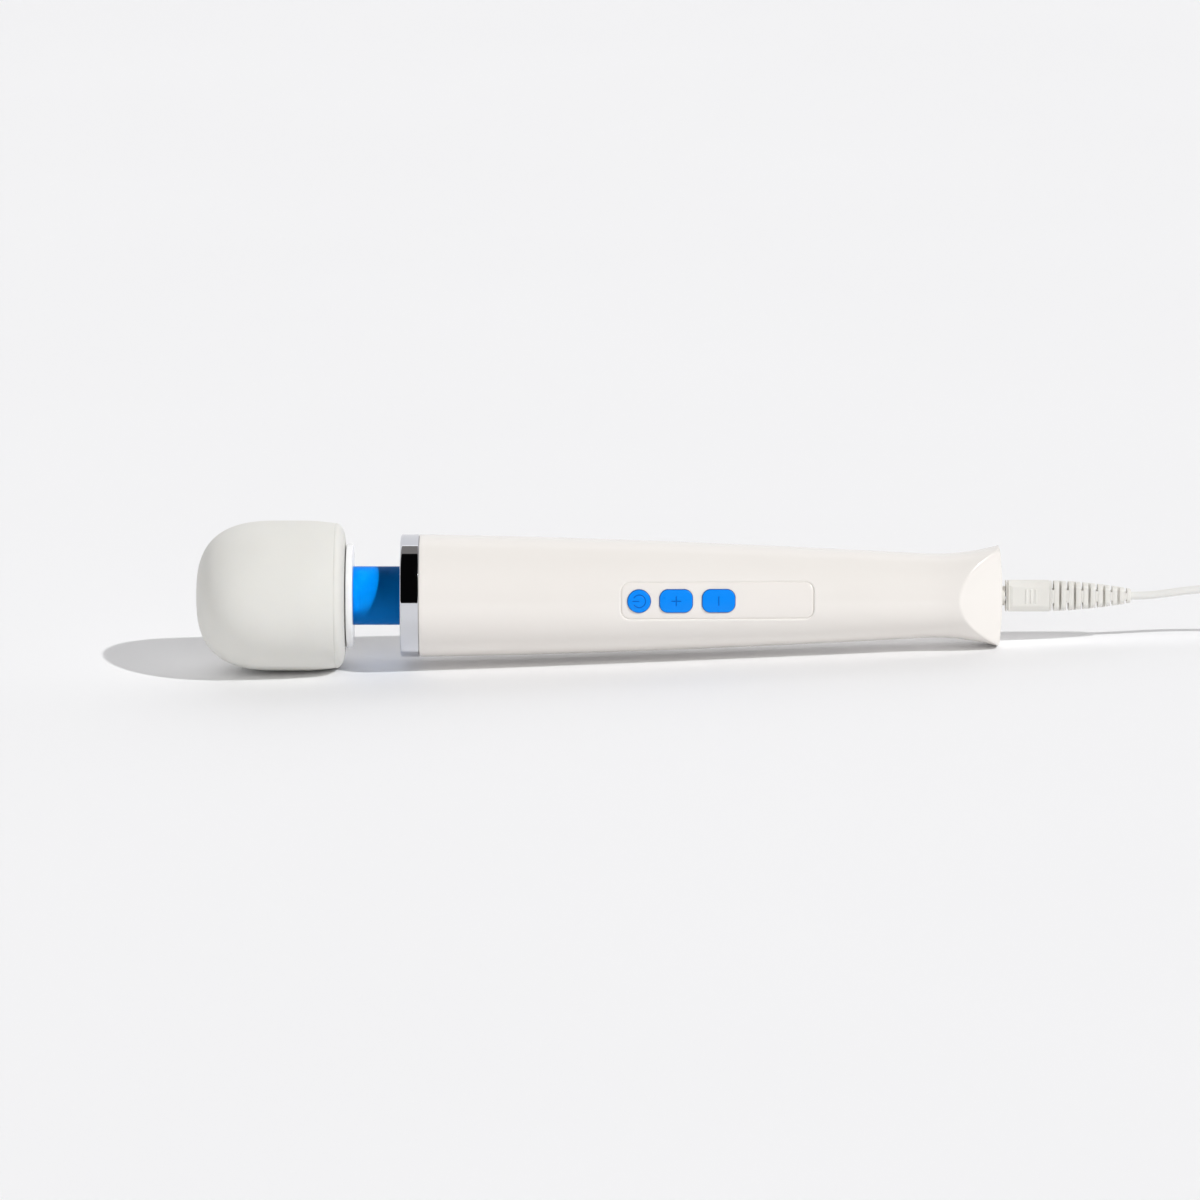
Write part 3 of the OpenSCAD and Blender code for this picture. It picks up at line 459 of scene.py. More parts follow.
# ---- Flexible neck ----
# A blue silicone tube, 23 mm across with 3 mm walls, over a steel coil spring. Its front end
# sits in a groove of the head's base and its flanged rear end is clamped inside the collar.
PIVOT_X = 72.15
NECK_R, NECK_BORE = 11.7, 8.7
blue, blue_shader, t = new_finish("neck_silicone", IOR=1.43, Specular_IOR_Level=0.05)
wire(
    blue_shader,
    Base_Color=noise(t, 0.015, 3.0).between(srgb(0, 108, 188), srgb(0, 115, 197)),
    Roughness=0.4 + 0.12 * noise(t, 0.006, 3.0),
    Normal=bump(t, noise(t, 0.0004, 3.0), 0.00002),
)


def sleeve_half(name, stops, start, end):
    """One half of the tube, from [outer radius, x] stops and back along the bore. Start and
    end, both on the axis, have no effect."""
    bore = np.stack([np.full(len(stops), NECK_BORE), stops[::-1, 1]], 1)
    half = turned_piece(name, np.vstack([stops, bore]), True)
    half.data.materials.append(blue)
    to_row([start, 0, 0])
    to_row([end, 0, 0])
    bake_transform(half)
    return half


front_run = np.linspace(58.3, PIVOT_X, 32)
rear_run = np.linspace(PIVOT_X, 84.35, 28)
front_sleeve = sleeve_half(
    "neck_sleeve_front", np.stack([np.full(32, NECK_R), front_run], 1),
    PIVOT_X, 62.7)
rear_sleeve = sleeve_half(
    "neck_sleeve_rear",
    np.vstack([np.stack([np.full(28, NECK_R), rear_run], 1),
               [[NECK_R, 84.5], [13.9, 84.5], [13.9, 85.85]]]),
    81.8, PIVOT_X)
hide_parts("neck_sleeve")


def light_group(light, state):
    """Lets the light reach the neck alone, or all but the neck."""
    group = bpy.data.collections.new(light.name + "_group")
    for half in (front_sleeve, rear_sleeve):
        group.objects.link(half)
    light.light_linking.receiver_collection = group
    for member in group.collection_objects:
        member.light_linking.link_state = state


# flags keep both fill lamps off the neck, and a narrow second key lamp is aimed at it
light_group(front_fill, "EXCLUDE")
light_group(back_fill, "EXCLUDE")
light_group(lamp("neck_lamp", 4.5, KEY_PLACE, KEY_WIDTH, shine=False), "INCLUDE")

steel, steel_shader, t = new_finish("drawn_steel", Metallic=1.0)
drawn = noise(t, 0.0012, 3.0, 0.6, (0.12, 1, 1))
wire(
    steel_shader,
    Base_Color=drawn.between(srgb(128, 130, 134), srgb(176, 178, 182)),
    Roughness=0.22 + 0.2 * noise(t, 0.002),
    Normal=bump(t, drawn, 0.00001),
)
SPRING_X0, SPRING_X1, SPRING_R, SPRING_WIRE_R, TURNS = 60.45, 85.05, 6.7, 0.75, 9


def spring_half(name, first, last, start, end):
    """A helix about the axis, from the fraction first of its length to the fraction last."""
    run = np.linspace(first, last, int(TURNS * 40 * (last - first)))
    angle = 2 * np.pi * TURNS * run
    line = np.stack([SPRING_X0 + (SPRING_X1 - SPRING_X0) * run, SPRING_R * np.cos(angle),
                     SPRING_R * np.sin(angle)], 1)
    rings = tube_rings(line, SPRING_WIRE_R, 12, np.array([1.0, 0, 0]))
    half = build_mesh(name, *closed_tube(to_row(rings)))
    half.data.materials.append(steel)
    to_row([start, 0, 0])
    to_row([end, 0, 0])
    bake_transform(half)
    return half


middle = (PIVOT_X - SPRING_X0) / (SPRING_X1 - SPRING_X0)
front_spring = spring_half("neck_spring_front", 0.0, middle, PIVOT_X, 62.7)
spring_half("neck_spring_rear", middle, 1.0, 81.8, PIVOT_X)
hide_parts("neck_spring")

# ---- Chromed collar ----
# A short ring of plastic with a mirror chrome plating, pushed over the spigot at the front of
# the two handle shells. Its front edge is well rounded, its rear edge almost square.
collar = turned_piece("chrome_collar", softened([
    [22.3, 81.6, 0.3], [24.5, 81.6, 0.9], [24.5, 89.0, 0.35], [22.3, 89.0, 0.2]]), True,
    sides=240)
chrome, chrome_shader, t = new_finish("mirror_chrome", Metallic=1.0)
wire(
    chrome_shader,
    Base_Color=noise(t, 0.02).between(srgb(214, 216, 221), srgb(222, 223, 227)),
    Roughness=0.03 + 0.05 * noise(t, 0.012, 4.0).step(0.5, 0.8),
    Normal=bump(t, noise(t, 0.006, 1.0), 0.000004),
)
seat(collar, chrome, "handle", "chrome_trim", "collar_ring")

# ---- Handle shells ----
# Two halves moulded in polished warm-white plastic, 2.4 mm thick, which meet on a fine seam
# above and below. The tail flares and is cut by a slanted facet on each side, and the rear
# half has four deep holes for the screws that hold both together.
HANDLE_X, TAIL_X, WALL = 89.1, 321.9, 2.4
HANDLE_R, WAIST_FALL, WAIST_RUN = 24.4, 7.6, 203.9
TAIL_R, FLARE_X, FLARE_RUN = 20.6, 289.9, 32
FACET_X, TAIL_HALF, EDGE_SOFT = 304.2, 5.0, 0.22
END_R, INLET_R, TAIL_EDGE, TAIL_LEAN = 150.0, 4.0, 0.35, 0.1
SEAM = 0.04
SPIGOT = [(86.4, 22.2), (89.1, 22.2), (89.1, 24.1), (89.19, 24.31)]  # x and radius
SPIGOT_BORE = 19.8
PANEL_MID, PANEL_HALF, PANEL_SIDE, PANEL_ROUND = 207.65, 38.25, 7.45, 3.6
BRIM_WIDTH, BRIM_DEPTH, SEAT_DEPTH = 0.85, 0.65, 1.65
HOLES = [(162.1, 15.35), (259.9, 11.3)]  # x, and z to each side
HOLE_R, HOLE_FLOOR_Y = 2.7, 5.0


def handle_radius(x):
    """The handle's outline: a falling power curve, with a parabola added for the flare."""
    taper = HANDLE_R - WAIST_FALL * (np.maximum(x - HANDLE_X, 0) / WAIST_RUN) ** 1.45
    tail = TAIL_R - (HANDLE_R - WAIST_FALL * ((TAIL_X - HANDLE_X) / WAIST_RUN) ** 1.45)
    return taper + tail * np.clip((x - FLARE_X) / FLARE_RUN, 0, None) ** 2


FACET_SLOPE = (float(handle_radius(FACET_X)) - TAIL_HALF) / (TAIL_X - FACET_X)


def reach(x, turn, inset=0.0):
    """Distance from the axis to the surface at x towards turn, which is 0 at +z and grows
    through -y: the soft minimum of the round outline and of the facet's plane."""
    round_r = handle_radius(x) - inset
    plane = TAIL_HALF + (TAIL_X - x) * FACET_SLOPE - inset * math.hypot(1, FACET_SLOPE)
    flat_r = plane / np.maximum(np.abs(np.sin(turn)), 1e-3)
    low = np.minimum(round_r, flat_r)
    return low - EDGE_SOFT * np.log(np.exp((low - round_r) / EDGE_SOFT)
                                    + np.exp((low - flat_r) / EDGE_SOFT))


def end_face(z):
    """Where the domed end face stands at height z."""
    return TAIL_X - END_R + np.sqrt(END_R**2 - z**2)


def rounded_distance(x, z, half_x, half_z, corner):
    """Signed distance to a rectangle with round corners, negative inside."""
    dx, dz = np.abs(x) - half_x + corner, np.abs(z) - half_z + corner
    outside = np.hypot(np.maximum(dx, 0), np.maximum(dz, 0))
    return outside + np.minimum(np.maximum(dx, dz), 0) - corner


def gathered(low, high, step, places, fine, width):
    """Stops from low to high, step apart, and fine apart within width of each place."""
    stops = np.r_[np.arange(low, high, step), high]
    for place in places:
        near = np.arange(place - width, place + width + fine / 2, fine)
        stops = stops[np.abs(stops - place) > width + 0.4 * fine]
        stops = np.r_[stops, near[(near >= low) & (near <= high)]]
    return np.unique(np.round(stops, 4))


def shell_grids(x_stops, turns, inset):
    """Rows along the handle, over its rounded tail edge and in across the end face to the
    inlet's hole. turns(x) gives the columns' directions at each x."""
    body_x = x_stops[x_stops < FACET_X - 4]
    turn = turns(body_x[:, None])
    x = np.broadcast_to(body_x[:, None], turn.shape)
    parts = [(x, turn, reach(x, turn, inset))]
    share = np.linspace(0, 1, 74)[:, None]
    start = turns(np.full(share.shape, body_x[-1] + 1.0))
    turn = start + (turns(np.full(share.shape, TAIL_X)) - start) * share
    tip = end_face(reach(TAIL_X - 1.2, turn, inset) * np.cos(turn)) - inset - TAIL_EDGE
    x = body_x[-1] + 1.0 + (tip - body_x[-1] - 1.0) * share
    parts.append((x, turn, reach(x, turn, inset)))
    last_x, last_turn, last_r = (p[-1:] for p in parts[-1])
    bend = np.pi / 2 * np.linspace(0, 1, 6)[1:, None]
    x = last_x + TAIL_EDGE * np.sin(bend)
    turn = np.broadcast_to(last_turn, x.shape)
    parts.append((x, turn, last_r + TAIL_LEAN * np.sin(bend) - TAIL_EDGE * (1 - np.cos(bend))))
    share = np.linspace(0, 1, 14)[1:, None] ** 0.9
    edge = parts[-1][2][-1:]
    r = edge + (INLET_R - edge) * share
    turn = np.broadcast_to(last_turn, r.shape)
    parts.append((end_face(r * np.cos(turn)) - inset, turn, r))
    return (np.concatenate([p[k] for p in parts]) for k in range(3))


def joined_skins(outer, inner):
    """Points and faces of two grids of one size, one under the other, joined all round."""
    grid = np.concatenate([outer, inner[:, ::-1]], 1)
    rows, columns = grid.shape[:2]
    faces = [grid_faces(rows, columns)]
    j = np.arange(columns // 2 - 1)
    for row in (0, rows - 1):
        a, b = row * columns + j, row * columns + j + 1
        c, d = (row + 1) * columns - 2 - j, (row + 1) * columns - 1 - j
        faces.append(np.stack([b, a, d, c] if row == 0 else [a, b, c, d], 1))
    return grid.reshape(-1, 3), np.vstack(faces)


def shell_piece(name, node, x_stops, turns, change):
    """A closed half shell: outer rows, and the same rows 2.4 mm deeper, joined all round.
    change moves the outer surface's points for holes and recesses."""
    skins = []
    for inset in (0.0, WALL):
        x, turn, r = shell_grids(x_stops, turns, inset)
        if inset:
            r = np.where(x < HANDLE_X + 2.6, SPIGOT_BORE, r)
        else:
            r[:, [0, -1]] -= SEAM
        points = np.stack([x, -r * np.sin(turn), r * np.cos(turn)], -1)
        mouth = points[:1].repeat(4, 0)
        if inset:
            mouth[:, :, 0] = np.array([86.4, 87.3, 88.2, 89.1])[:, None]
        else:
            points = change(points)
            mouth /= np.linalg.norm(mouth[..., 1:], axis=-1, keepdims=True)
            for row, (mouth_x, mouth_r) in zip(mouth, SPIGOT):
                row *= mouth_r
                row[:, 0] = mouth_x
        skins.append(np.vstack([mouth, points]))
    points, faces = joined_skins(*skins)
    shell = build_mesh(name, to_row(points), faces, sharp=55)
    seat(shell, gloss, "handle", "gloss_white", node)


def front_turns(x):
    """Columns of the front half: lines of constant z across the panel, then even steps."""
    z = gathered(-9.0, 9.0, 0.3, (-PANEL_SIDE, PANEL_SIDE), 0.13, 0.91)[::-1]
    middle = np.arccos(np.clip(z / handle_radius(x), -1, 1))
    side = np.linspace(0, 1, 49)[:-1]
    side = np.r_[0, 0.012, side[1:]]
    return np.concatenate([middle[:, :1] * side,
                           middle,
                           np.pi - (np.pi - middle[:, -1:]) * side[::-1]], 1)


def panel_recess(points):
    """Sinks the button panel's seat 1.65 mm deep, with a rounded brim all round it."""
    x, z = points[..., 0], points[..., 2]
    d = rounded_distance(x - PANEL_MID, z, PANEL_HALF, PANEL_SIDE, PANEL_ROUND)
    near = np.clip(1 - d / BRIM_WIDTH, 0, 1)
    depth = BRIM_DEPTH * (1 - np.sqrt(1 - near**2 * 0.995))
    depth = np.where(d > 0, depth, np.where(d < -0.05, SEAT_DEPTH, BRIM_DEPTH))
    depth = np.where((np.abs(x - PANEL_MID) > 50) | (points[..., 1] > 0), 0, depth)
    radial = points[..., 1:] / np.linalg.norm(points[..., 1:], axis=-1, keepdims=True)
    return np.concatenate([points[..., :1], points[..., 1:] - depth[..., None] * radial], -1)


front_stops = gathered(89.45, FACET_X, 1.7,
                       (PANEL_MID - PANEL_HALF, PANEL_MID + PANEL_HALF), 0.13, 0.91)
for corner_x in (PANEL_MID - PANEL_HALF + 2.1, PANEL_MID + PANEL_HALF - 2.1):
    front_stops = np.r_[front_stops[np.abs(front_stops - corner_x) > 1.6],
                        np.arange(corner_x - 1.55, corner_x + 1.56, 0.24)]
front_stops = np.sort(front_stops)
shell_piece("handle_front", "front_shell", front_stops, front_turns, panel_recess)


def rear_turns(x):
    """Columns of the rear half: even steps, closer together where the screw holes are."""
    turn = np.concatenate([[0, 0.5], np.arange(2.5, 28, 2.5), np.arange(28, 66, 0.9),
                           np.arange(66, 114, 2.5), np.arange(114, 152, 0.9),
                           np.arange(152, 179, 2.5), [179.5, 180]])
    return np.radians(360 - turn)[None, :] + 0 * x


def screw_holes(points):
    """Drops the points inside each screw hole to its floor, and draws those near its edge
    onto a true circle."""
    points = points.copy()
    x, y, z = np.moveaxis(points, -1, 0)
    for hole_x, hole_z in HOLES:
        for side in (-1, 1):
            dx, dz = x - hole_x, z - side * hole_z
            away = np.hypot(dx, dz)
            edge = (np.abs(away - HOLE_R) < 0.2) & (y > 0)
            inside = (away <= HOLE_R - 0.2) & (y > 0)
            fit = np.where(inside & (away > HOLE_R - 0.5), HOLE_R - 0.08, away)
            fit = np.where(edge, HOLE_R, fit)
            fit = fit / np.maximum(away, 1e-6)
            moved = edge | inside
            x[moved] = (hole_x + dx * fit)[moved]
            z[moved] = (side * hole_z + dz * fit)[moved]
            y[edge] = np.sqrt(handle_radius(x[edge]) ** 2 - z[edge] ** 2)
            y[inside] = HOLE_FLOOR_Y
    return np.stack([x, y, z], -1)


rear_stops = gathered(89.45, FACET_X, 1.3, (HOLES[0][0], HOLES[1][0]), 0.28, 3.1)
shell_piece("handle_rear", "rear_shell", rear_stops, rear_turns, screw_holes)

# ---- Button panel ----
# A long white cover with round corners, snapped into a recess of the front shell. It is sunk
# a little below the shell, its edge is rounded, and three holes in it guide the buttons.
PANEL_SUNK, PANEL_EDGE, EDGE_DROP, BUTTON_GAP = 0.25, 0.8, 0.85, 0.12
PANEL_DEEP, HOLE_DEEP = 1.6, 1.4
BUTTONS = {
    "power": (176.5, 4.65, 4.65, 4.65),
    "plus": (191.2, 6.6, 4.65, 3.4),
    "minus": (208.1, 6.6, 4.65, 3.4),
}
CELL = 0.22
RIM_REACH, WALL_REACH = 0.72 * CELL, 2.2 * CELL


def hole_distance(x, z):
    """Signed distance to the nearest button hole, negative inside it."""
    away = np.full(np.shape(x), 1e3)
    for mid, half_x, half_z, corner in BUTTONS.values():
        away = np.minimum(away, rounded_distance(
            x - mid, z, half_x + BUTTON_GAP, half_z + BUTTON_GAP, corner + BUTTON_GAP))
    return away


def drawn_to(x, z, target, part):
    """Moves the marked points along the distance's gradient until it equals target."""
    for _ in range(2):
        d = hole_distance(x, z)
        gx = (hole_distance(x + 0.01, z) - hole_distance(x - 0.01, z)) / 0.02
        gz = (hole_distance(x, z + 0.01) - hole_distance(x, z - 0.01)) / 0.02
        size = np.maximum(np.hypot(gx, gz), 0.3)
        x = np.where(part, x - (d - target) * gx / size, x)
        z = np.where(part, z - (d - target) * gz / size, z)
    return x, z


end_angle = np.pi / 2 * np.linspace(0, 1, 30)
ends_x = PANEL_HALF - PANEL_ROUND + PANEL_ROUND * np.sin(end_angle)
panel_x = np.r_[-ends_x[::-1], np.arange(-PANEL_HALF + PANEL_ROUND + CELL,
                                         PANEL_HALF - PANEL_ROUND - CELL / 2, CELL), ends_x]
half = PANEL_SIDE - PANEL_ROUND + np.sqrt(np.maximum(
    PANEL_ROUND**2 - np.clip(np.abs(panel_x) - PANEL_HALF + PANEL_ROUND, 0, None) ** 2, 0))
brim = PANEL_EDGE * (1 - np.cos(np.pi / 2 * np.linspace(0, 1, 9)))
across = np.r_[PANEL_SIDE - brim, np.arange(PANEL_SIDE - PANEL_EDGE - CELL, 0, -CELL)]
across = np.r_[across, 0, -across[::-1]] / PANEL_SIDE
px = PANEL_MID + panel_x[:, None] + 0 * across
pz = half[:, None] * across
inside = -rounded_distance(px - PANEL_MID, pz, PANEL_HALF, PANEL_SIDE, PANEL_ROUND)
drop = EDGE_DROP * (PANEL_EDGE - np.sqrt(np.maximum(
    PANEL_EDGE**2 - np.clip(PANEL_EDGE - inside, 0, PANEL_EDGE) ** 2, 0)))
start_d = hole_distance(px, pz)
in_hole = start_d <= -RIM_REACH
px, pz = drawn_to(px, pz, 0.0, np.abs(start_d) < RIM_REACH)
px, pz = drawn_to(px, pz, 0.2 * (start_d + RIM_REACH) - 0.05, in_hole & (start_d > -WALL_REACH))
drop = np.where(in_hole, HOLE_DEEP, drop)
face = -np.sqrt((handle_radius(px) - PANEL_SUNK) ** 2 - pz**2)
points, faces = joined_skins(np.stack([px, face + drop, pz], -1),
                             np.stack([px, face + PANEL_DEEP, pz], -1))
panel = build_mesh("panel_cover", to_row(points), faces, sharp=35)
panel_finish, panel_shader, t = new_finish(
    "panel_white", IOR=1.49, Coat_Weight=0.2, Coat_Roughness=0.05)
wire(
    panel_shader,
    Base_Color=noise(t, 0.04).between(srgb(238, 233, 228), srgb(243, 238, 233)),
    Roughness=0.2 + 0.07 * noise(t, 0.012, 4.0, 0.6).step(0.3, 0.8),
    Normal=bump(t, noise(t, 0.003, 1.0), 0.000006),
)
seat(panel, panel_finish, "handle", "panel_white", "button_panel")

# ---- Buttons ----
# Three glossy blue plastic caps, domed to the handle's curve, with their generic signs sunk
# 0.2 mm into them. Each slides in its hole on a plunger that closes a switch. A darker blue is
# painted on each cap's rounded rim and in its signs as painted shade.
BUTTON_PROUD, BUTTON_EDGE, BUTTON_DEEP, BUTTON_SIDES = 0.4, 0.5, 1.1, 176
SIGN_HALF, SIGN_EDGE, SIGN_DEEP = 0.26, 0.14, 0.2


def outline(half_a, half_b, corner, count):
    """A rectangle with round corners: count points, evenly spaced along its edge."""
    corner = min(corner, half_a, half_b)
    bend = np.pi / 2 * np.linspace(0, 1, 25)
    line = np.vstack([
        [sa * (half_a - corner), sb * (half_b - corner)]
        + corner * np.stack([np.cos(bend + k * np.pi / 2), np.sin(bend + k * np.pi / 2)], 1)
        for k, (sa, sb) in enumerate(((1, 1), (-1, 1), (-1, -1), (1, -1)))
    ])
    line = np.vstack([line, line[:1]])
    run = np.r_[0, np.cumsum(np.linalg.norm(np.diff(line, axis=0), axis=1))]
    stops = np.arange(count) / count * run[-1]
    return np.stack([np.interp(stops, run, line[:, 0]), np.interp(stops, run, line[:, 1])], 1)


def stroke(u, v, ax, ay, bx, by):
    """Distance from (u, v) to the straight stroke from a to b."""
    run = np.clip(((u - ax) * (bx - ax) + (v - ay) * (by - ay))
                  / ((bx - ax) ** 2 + (by - ay) ** 2), 0, 1)
    return np.hypot(u - ax - run * (bx - ax), v - ay - run * (by - ay))


def power_sign(u, v):
    """A ring open towards the head, with a stroke through the opening."""
    ring = np.abs(np.hypot(u, v) - 2.5)
    ring = np.where(np.abs(np.arctan2(v, -u)) < 0.55, 9, ring)
    return np.minimum(ring, stroke(u, v, -2.5, 0, -0.1, 0))


SIGNS = {
    "power": power_sign,
    "plus": lambda u, v: np.minimum(stroke(u, v, -1.8, 0, 1.8, 0), stroke(u, v, 0, -1.8, 0, 1.8)),
    "minus": lambda u, v: stroke(u, v, 0, -1.7, 0, 1.7),
}
button_blue, button_shader, t = new_finish("button_blue", IOR=1.49, Specular_IOR_Level=0.18)
# the sign attribute carries painted shade: a darker blue on each cap's rim and in its sunk signs
painted_shade_mask = t.node("ShaderNodeAttribute", out=2, attribute_name="sign")
cloud = noise(t, 0.004, 3.0).between(srgb(0, 136, 246), srgb(0, 142, 252))
wire(
    button_shader,
    Base_Color=painted_shade_mask.between(cloud, srgb(0, 84, 178)),
    Roughness=0.24 + 0.1 * noise(t, 0.003, 3.0),
    Normal=bump(t, noise(t, 0.0012, 1.0), 0.000004),
)
for key, (mid, half_x, half_z, corner) in BUTTONS.items():
    bend = np.pi / 2 * np.linspace(0, 1, 8)
    rings = [outline(half_x - d, half_z - d, corner - d, BUTTON_SIDES)
             for d in BUTTON_EDGE * (1 - np.cos(bend))]
    rings = np.array(rings + [rings[-1] * share for share in np.linspace(1, 0.02, 48)[1:]])
    drops = np.r_[BUTTON_EDGE * (1 - np.sin(bend)), np.zeros(47)][:, None]
    sign = SIGNS[key](rings[..., 0], rings[..., 1])
    depth = np.clip((SIGN_HALF - sign) / SIGN_EDGE, 0, 1)
    x, z = mid + rings[..., 0], rings[..., 1]
    y = -np.sqrt((handle_radius(x) + BUTTON_PROUD) ** 2 - z**2) + drops + SIGN_DEEP * depth
    top = np.stack([x, y, z], -1)
    foot = top[:1].copy()
    foot[..., 1] += BUTTON_DEEP - BUTTON_EDGE
    floor = foot.copy()
    floor[..., 0] = mid + (floor[..., 0] - mid) * 0.9
    floor[..., 2] *= 0.9
    points, faces = closed_tube(np.concatenate([floor, foot, top]))
    button = build_mesh("button_" + key, to_row(points), faces, sharp=50)
    # painted shade: the rim darkens as its fillet falls away, the signs by their depth, and the
    # hidden sides and floor fully
    painted_shade_level = np.where(drops > 0.02, 1.25 * drops / BUTTON_EDGE, 0.75 * depth)
    painted_shade_level = np.r_[np.ones(2 * BUTTON_SIDES), np.clip(painted_shade_level, 0, 1).ravel(), 1, 0]
    layer = button.data.attributes.new("sign", "FLOAT", "POINT")
    layer.data.foreach_set("value", painted_shade_level.astype(np.float32))
    seat(button, button_blue, key + "_key", "blue_plastic", key + "_button")

# ---- Lead plug and its strain relief ----
# A soft white plastic plug moulded over the jack's barrel, with a bevelled face and three ribs
# to grip on each side, and a flexible tail of slotted rings that tapers to the lead.
PLUG_X, PLUG_END, RELIEF_END = 323.5, 340.9, 373.5
PLUG_HALF_Y, PLUG_HALF_Z = 4.2, 6.2
SLOT_W, SLOT_STEP = 0.9, 5.85


def lofted(name, stops, halves, corners, count, change=None, place=to_row):
    """Rounded rectangles of the given half sizes in y and z, joined along x and closed."""
    rings = np.array([outline(hy, hz, c, count) for (hy, hz), c in zip(halves, corners)])
    grid = np.concatenate([np.broadcast_to(np.asarray(stops, float)[:, None, None],
                                           (len(stops), count, 1)), rings], -1)
    if change is not None:
        grid = change(grid)
    return build_mesh(name, *closed_tube(place(grid)))


def plug_face(grid):
    """Slopes each flat side down towards the plug's front, top and bottom, and raises three
    ribs on it."""
    x, y, z = np.moveaxis(grid, -1, 0)
    grip = x > PLUG_X + 1.25
    edge = np.minimum(x - PLUG_X - 1.3, 4.9 - np.abs(z))
    low = 1 - np.clip(edge / 1.3, 0, 1)
    ribs = np.abs((x - PLUG_X - 8.05) / 1.9 - np.round((x - PLUG_X - 8.05) / 1.9)) * 1.9
    ribs = np.clip((0.55 - ribs) / 0.3, 0, 1) * (np.abs(x - PLUG_X - 9.95) < 2.6)
    ribs = ribs * np.clip((3.0 - np.abs(z)) / 0.4, 0, 1)
    y = np.where(grip, y * (0.93 - 0.12 * low + 0.07 * ribs), y)
    return np.stack([x, y, z], -1)


# along the plug: a thin end flange, a groove, then the grip, each row with its inset
plug_rows = np.vstack([
    [[0, 0.12], [0.05, 0.03], [0.2, 0.03], [0.25, 0.12], [0.27, 0.9], [0.88, 0.9],
     [0.9, 0.12], [0.98, 0], [1.3, 0]],
    np.stack([np.arange(1.45, 17.0, 0.15), np.zeros(104)], 1),
    [[17.2, 0], [17.32, 0.08], [17.4, 0.3]],
])
plug = lofted("plug_grip", PLUG_X + plug_rows[:, 0],
              [(PLUG_HALF_Y - d, PLUG_HALF_Z - d) for d in plug_rows[:, 1]],
              2.2 - plug_rows[:, 1], 232, plug_face)


def relief_half(share):
    """Half sizes in y and z at a share of the tail's length."""
    return (8.4 + (5 - 8.4) * share**2) / 2, (12.1 + (5.6 - 12.1) * share**1.7) / 2


relief_stops, relief_cut = [PLUG_END + 0.02], [0]
for k in range(6):
    for kind, first in ((2, 0.7), (1, 3.6)):
        low = PLUG_END + first + 0.15 + SLOT_STEP * k
        if kind == 1 and k == 5:
            continue
        relief_stops += [low - 0.16, low - 0.05, low, low + 0.01, low + SLOT_W / 2,
                         low + SLOT_W - 0.01, low + SLOT_W, low + SLOT_W + 0.05,
                         low + SLOT_W + 0.16]
        relief_cut += [0, 0, 0, kind, kind, kind, 0, 0, 0]
relief_stops += [RELIEF_END - 0.3, RELIEF_END - 0.1, RELIEF_END]
relief_cut += [0, 0, 0]
relief_stops, relief_cut = np.array(relief_stops), np.array(relief_cut)[:, None]
shares = np.clip((relief_stops - PLUG_END) / (RELIEF_END - PLUG_END), 0, 1)
shrink = np.zeros(len(relief_stops))
shrink[0] = 0.3
for k in range(1, len(relief_stops) - 1):
    beside = relief_cut[k - 1, 0] != relief_cut[k, 0] or relief_cut[k + 1, 0] != relief_cut[k, 0]
    shrink[k] = 0.16 if beside and relief_cut[k, 0] == 0 else 0.0
near = np.r_[shrink[1:], 0] + np.r_[0, shrink[:-1]]
shrink = np.where((shrink == 0) & (near > 0) & (relief_cut[:, 0] == 0), 0.04, shrink)
shrink[-2:] = (0.1, 0.4)


def cut_slots(grid):
    """Within a slot's rows, draws the sides in to the core: y by one kind, z by the other."""
    x, y, z = np.moveaxis(grid, -1, 0)
    y = np.where(relief_cut == 1, np.clip(y, -1.35, 1.35), y)
    core = 0.44 * relief_half(shares)[1][:, None]
    z = np.where(relief_cut == 2, np.clip(z, -core, core), z)
    return np.stack([x, y, z], -1)


relief = lofted("plug_strain_relief", relief_stops,
                [tuple(np.array(relief_half(q)) - d) for q, d in zip(shares, shrink)],
                [min(relief_half(q)) * 0.72 - d for q, d in zip(shares, shrink)], 128, cut_slots)
soft_white, soft_shader, t = new_finish(
    "soft_white_plastic", IOR=1.47, Subsurface_Weight=0.06,
    Subsurface_Radius=(0.002, 0.0016, 0.0013))
wire(
    soft_shader,
    Base_Color=noise(t, 0.01, 3.0).between(srgb(226, 224, 218), srgb(233, 231, 226)),
    Roughness=0.4 + 0.14 * noise(t, 0.004, 3.0),
    Normal=bump(t, noise(t, 0.0003, 3.0, 0.6), 0.00002),
)
seat(plug, soft_white, "handle", "lead_white", "lead_plug")
seat(relief, soft_white, "handle", "lead_white", "plug_relief")

# ---- Tie and wall adapter ----
# A flat moulded strap holds the coil. The lead's other end goes through a tapered sleeve into
# a boxy white adapter, whose face is welded on along a seam and carries two flat brass blades.


def coat(material, *nodes):
    """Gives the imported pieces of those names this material."""
    for node in nodes:
        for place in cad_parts[node].material_slots:
            place.material = material


def plain_finish(name, first, second, rough, grain=0.004, depth=0.00002, stretch=(1, 1, 1),
                 **constants):
    """A finish whose colour, roughness and fine relief all waver on the same grain."""
    material, shader, t = new_finish(name, **constants)
    spots = noise(t, grain, 3.0, 0.6, stretch)
    wire(
        shader,
        Base_Color=spots.between(srgb(*first), srgb(*second)),
        Roughness=rough[0] + (rough[1] - rough[0]) * noise(t, grain * 2, 3.0, 0.5, stretch),
        Normal=bump(t, spots, depth),
    )
    return material


coat(plain_finish("tie_white", (214, 214, 210), (224, 224, 220), (0.4, 0.55), 0.002), "cord_tie")
adapter_white = plain_finish("adapter_white", (226, 226, 222), (234, 234, 230), (0.24, 0.36),
                             0.004, 0.00001, IOR=1.49)


def at_adapter(points):
    """The adapter's own millimetres, x from its rear face to the blades, as row metres."""
    return (points + np.array([370.0, 1.6, 13.0])) / 1000


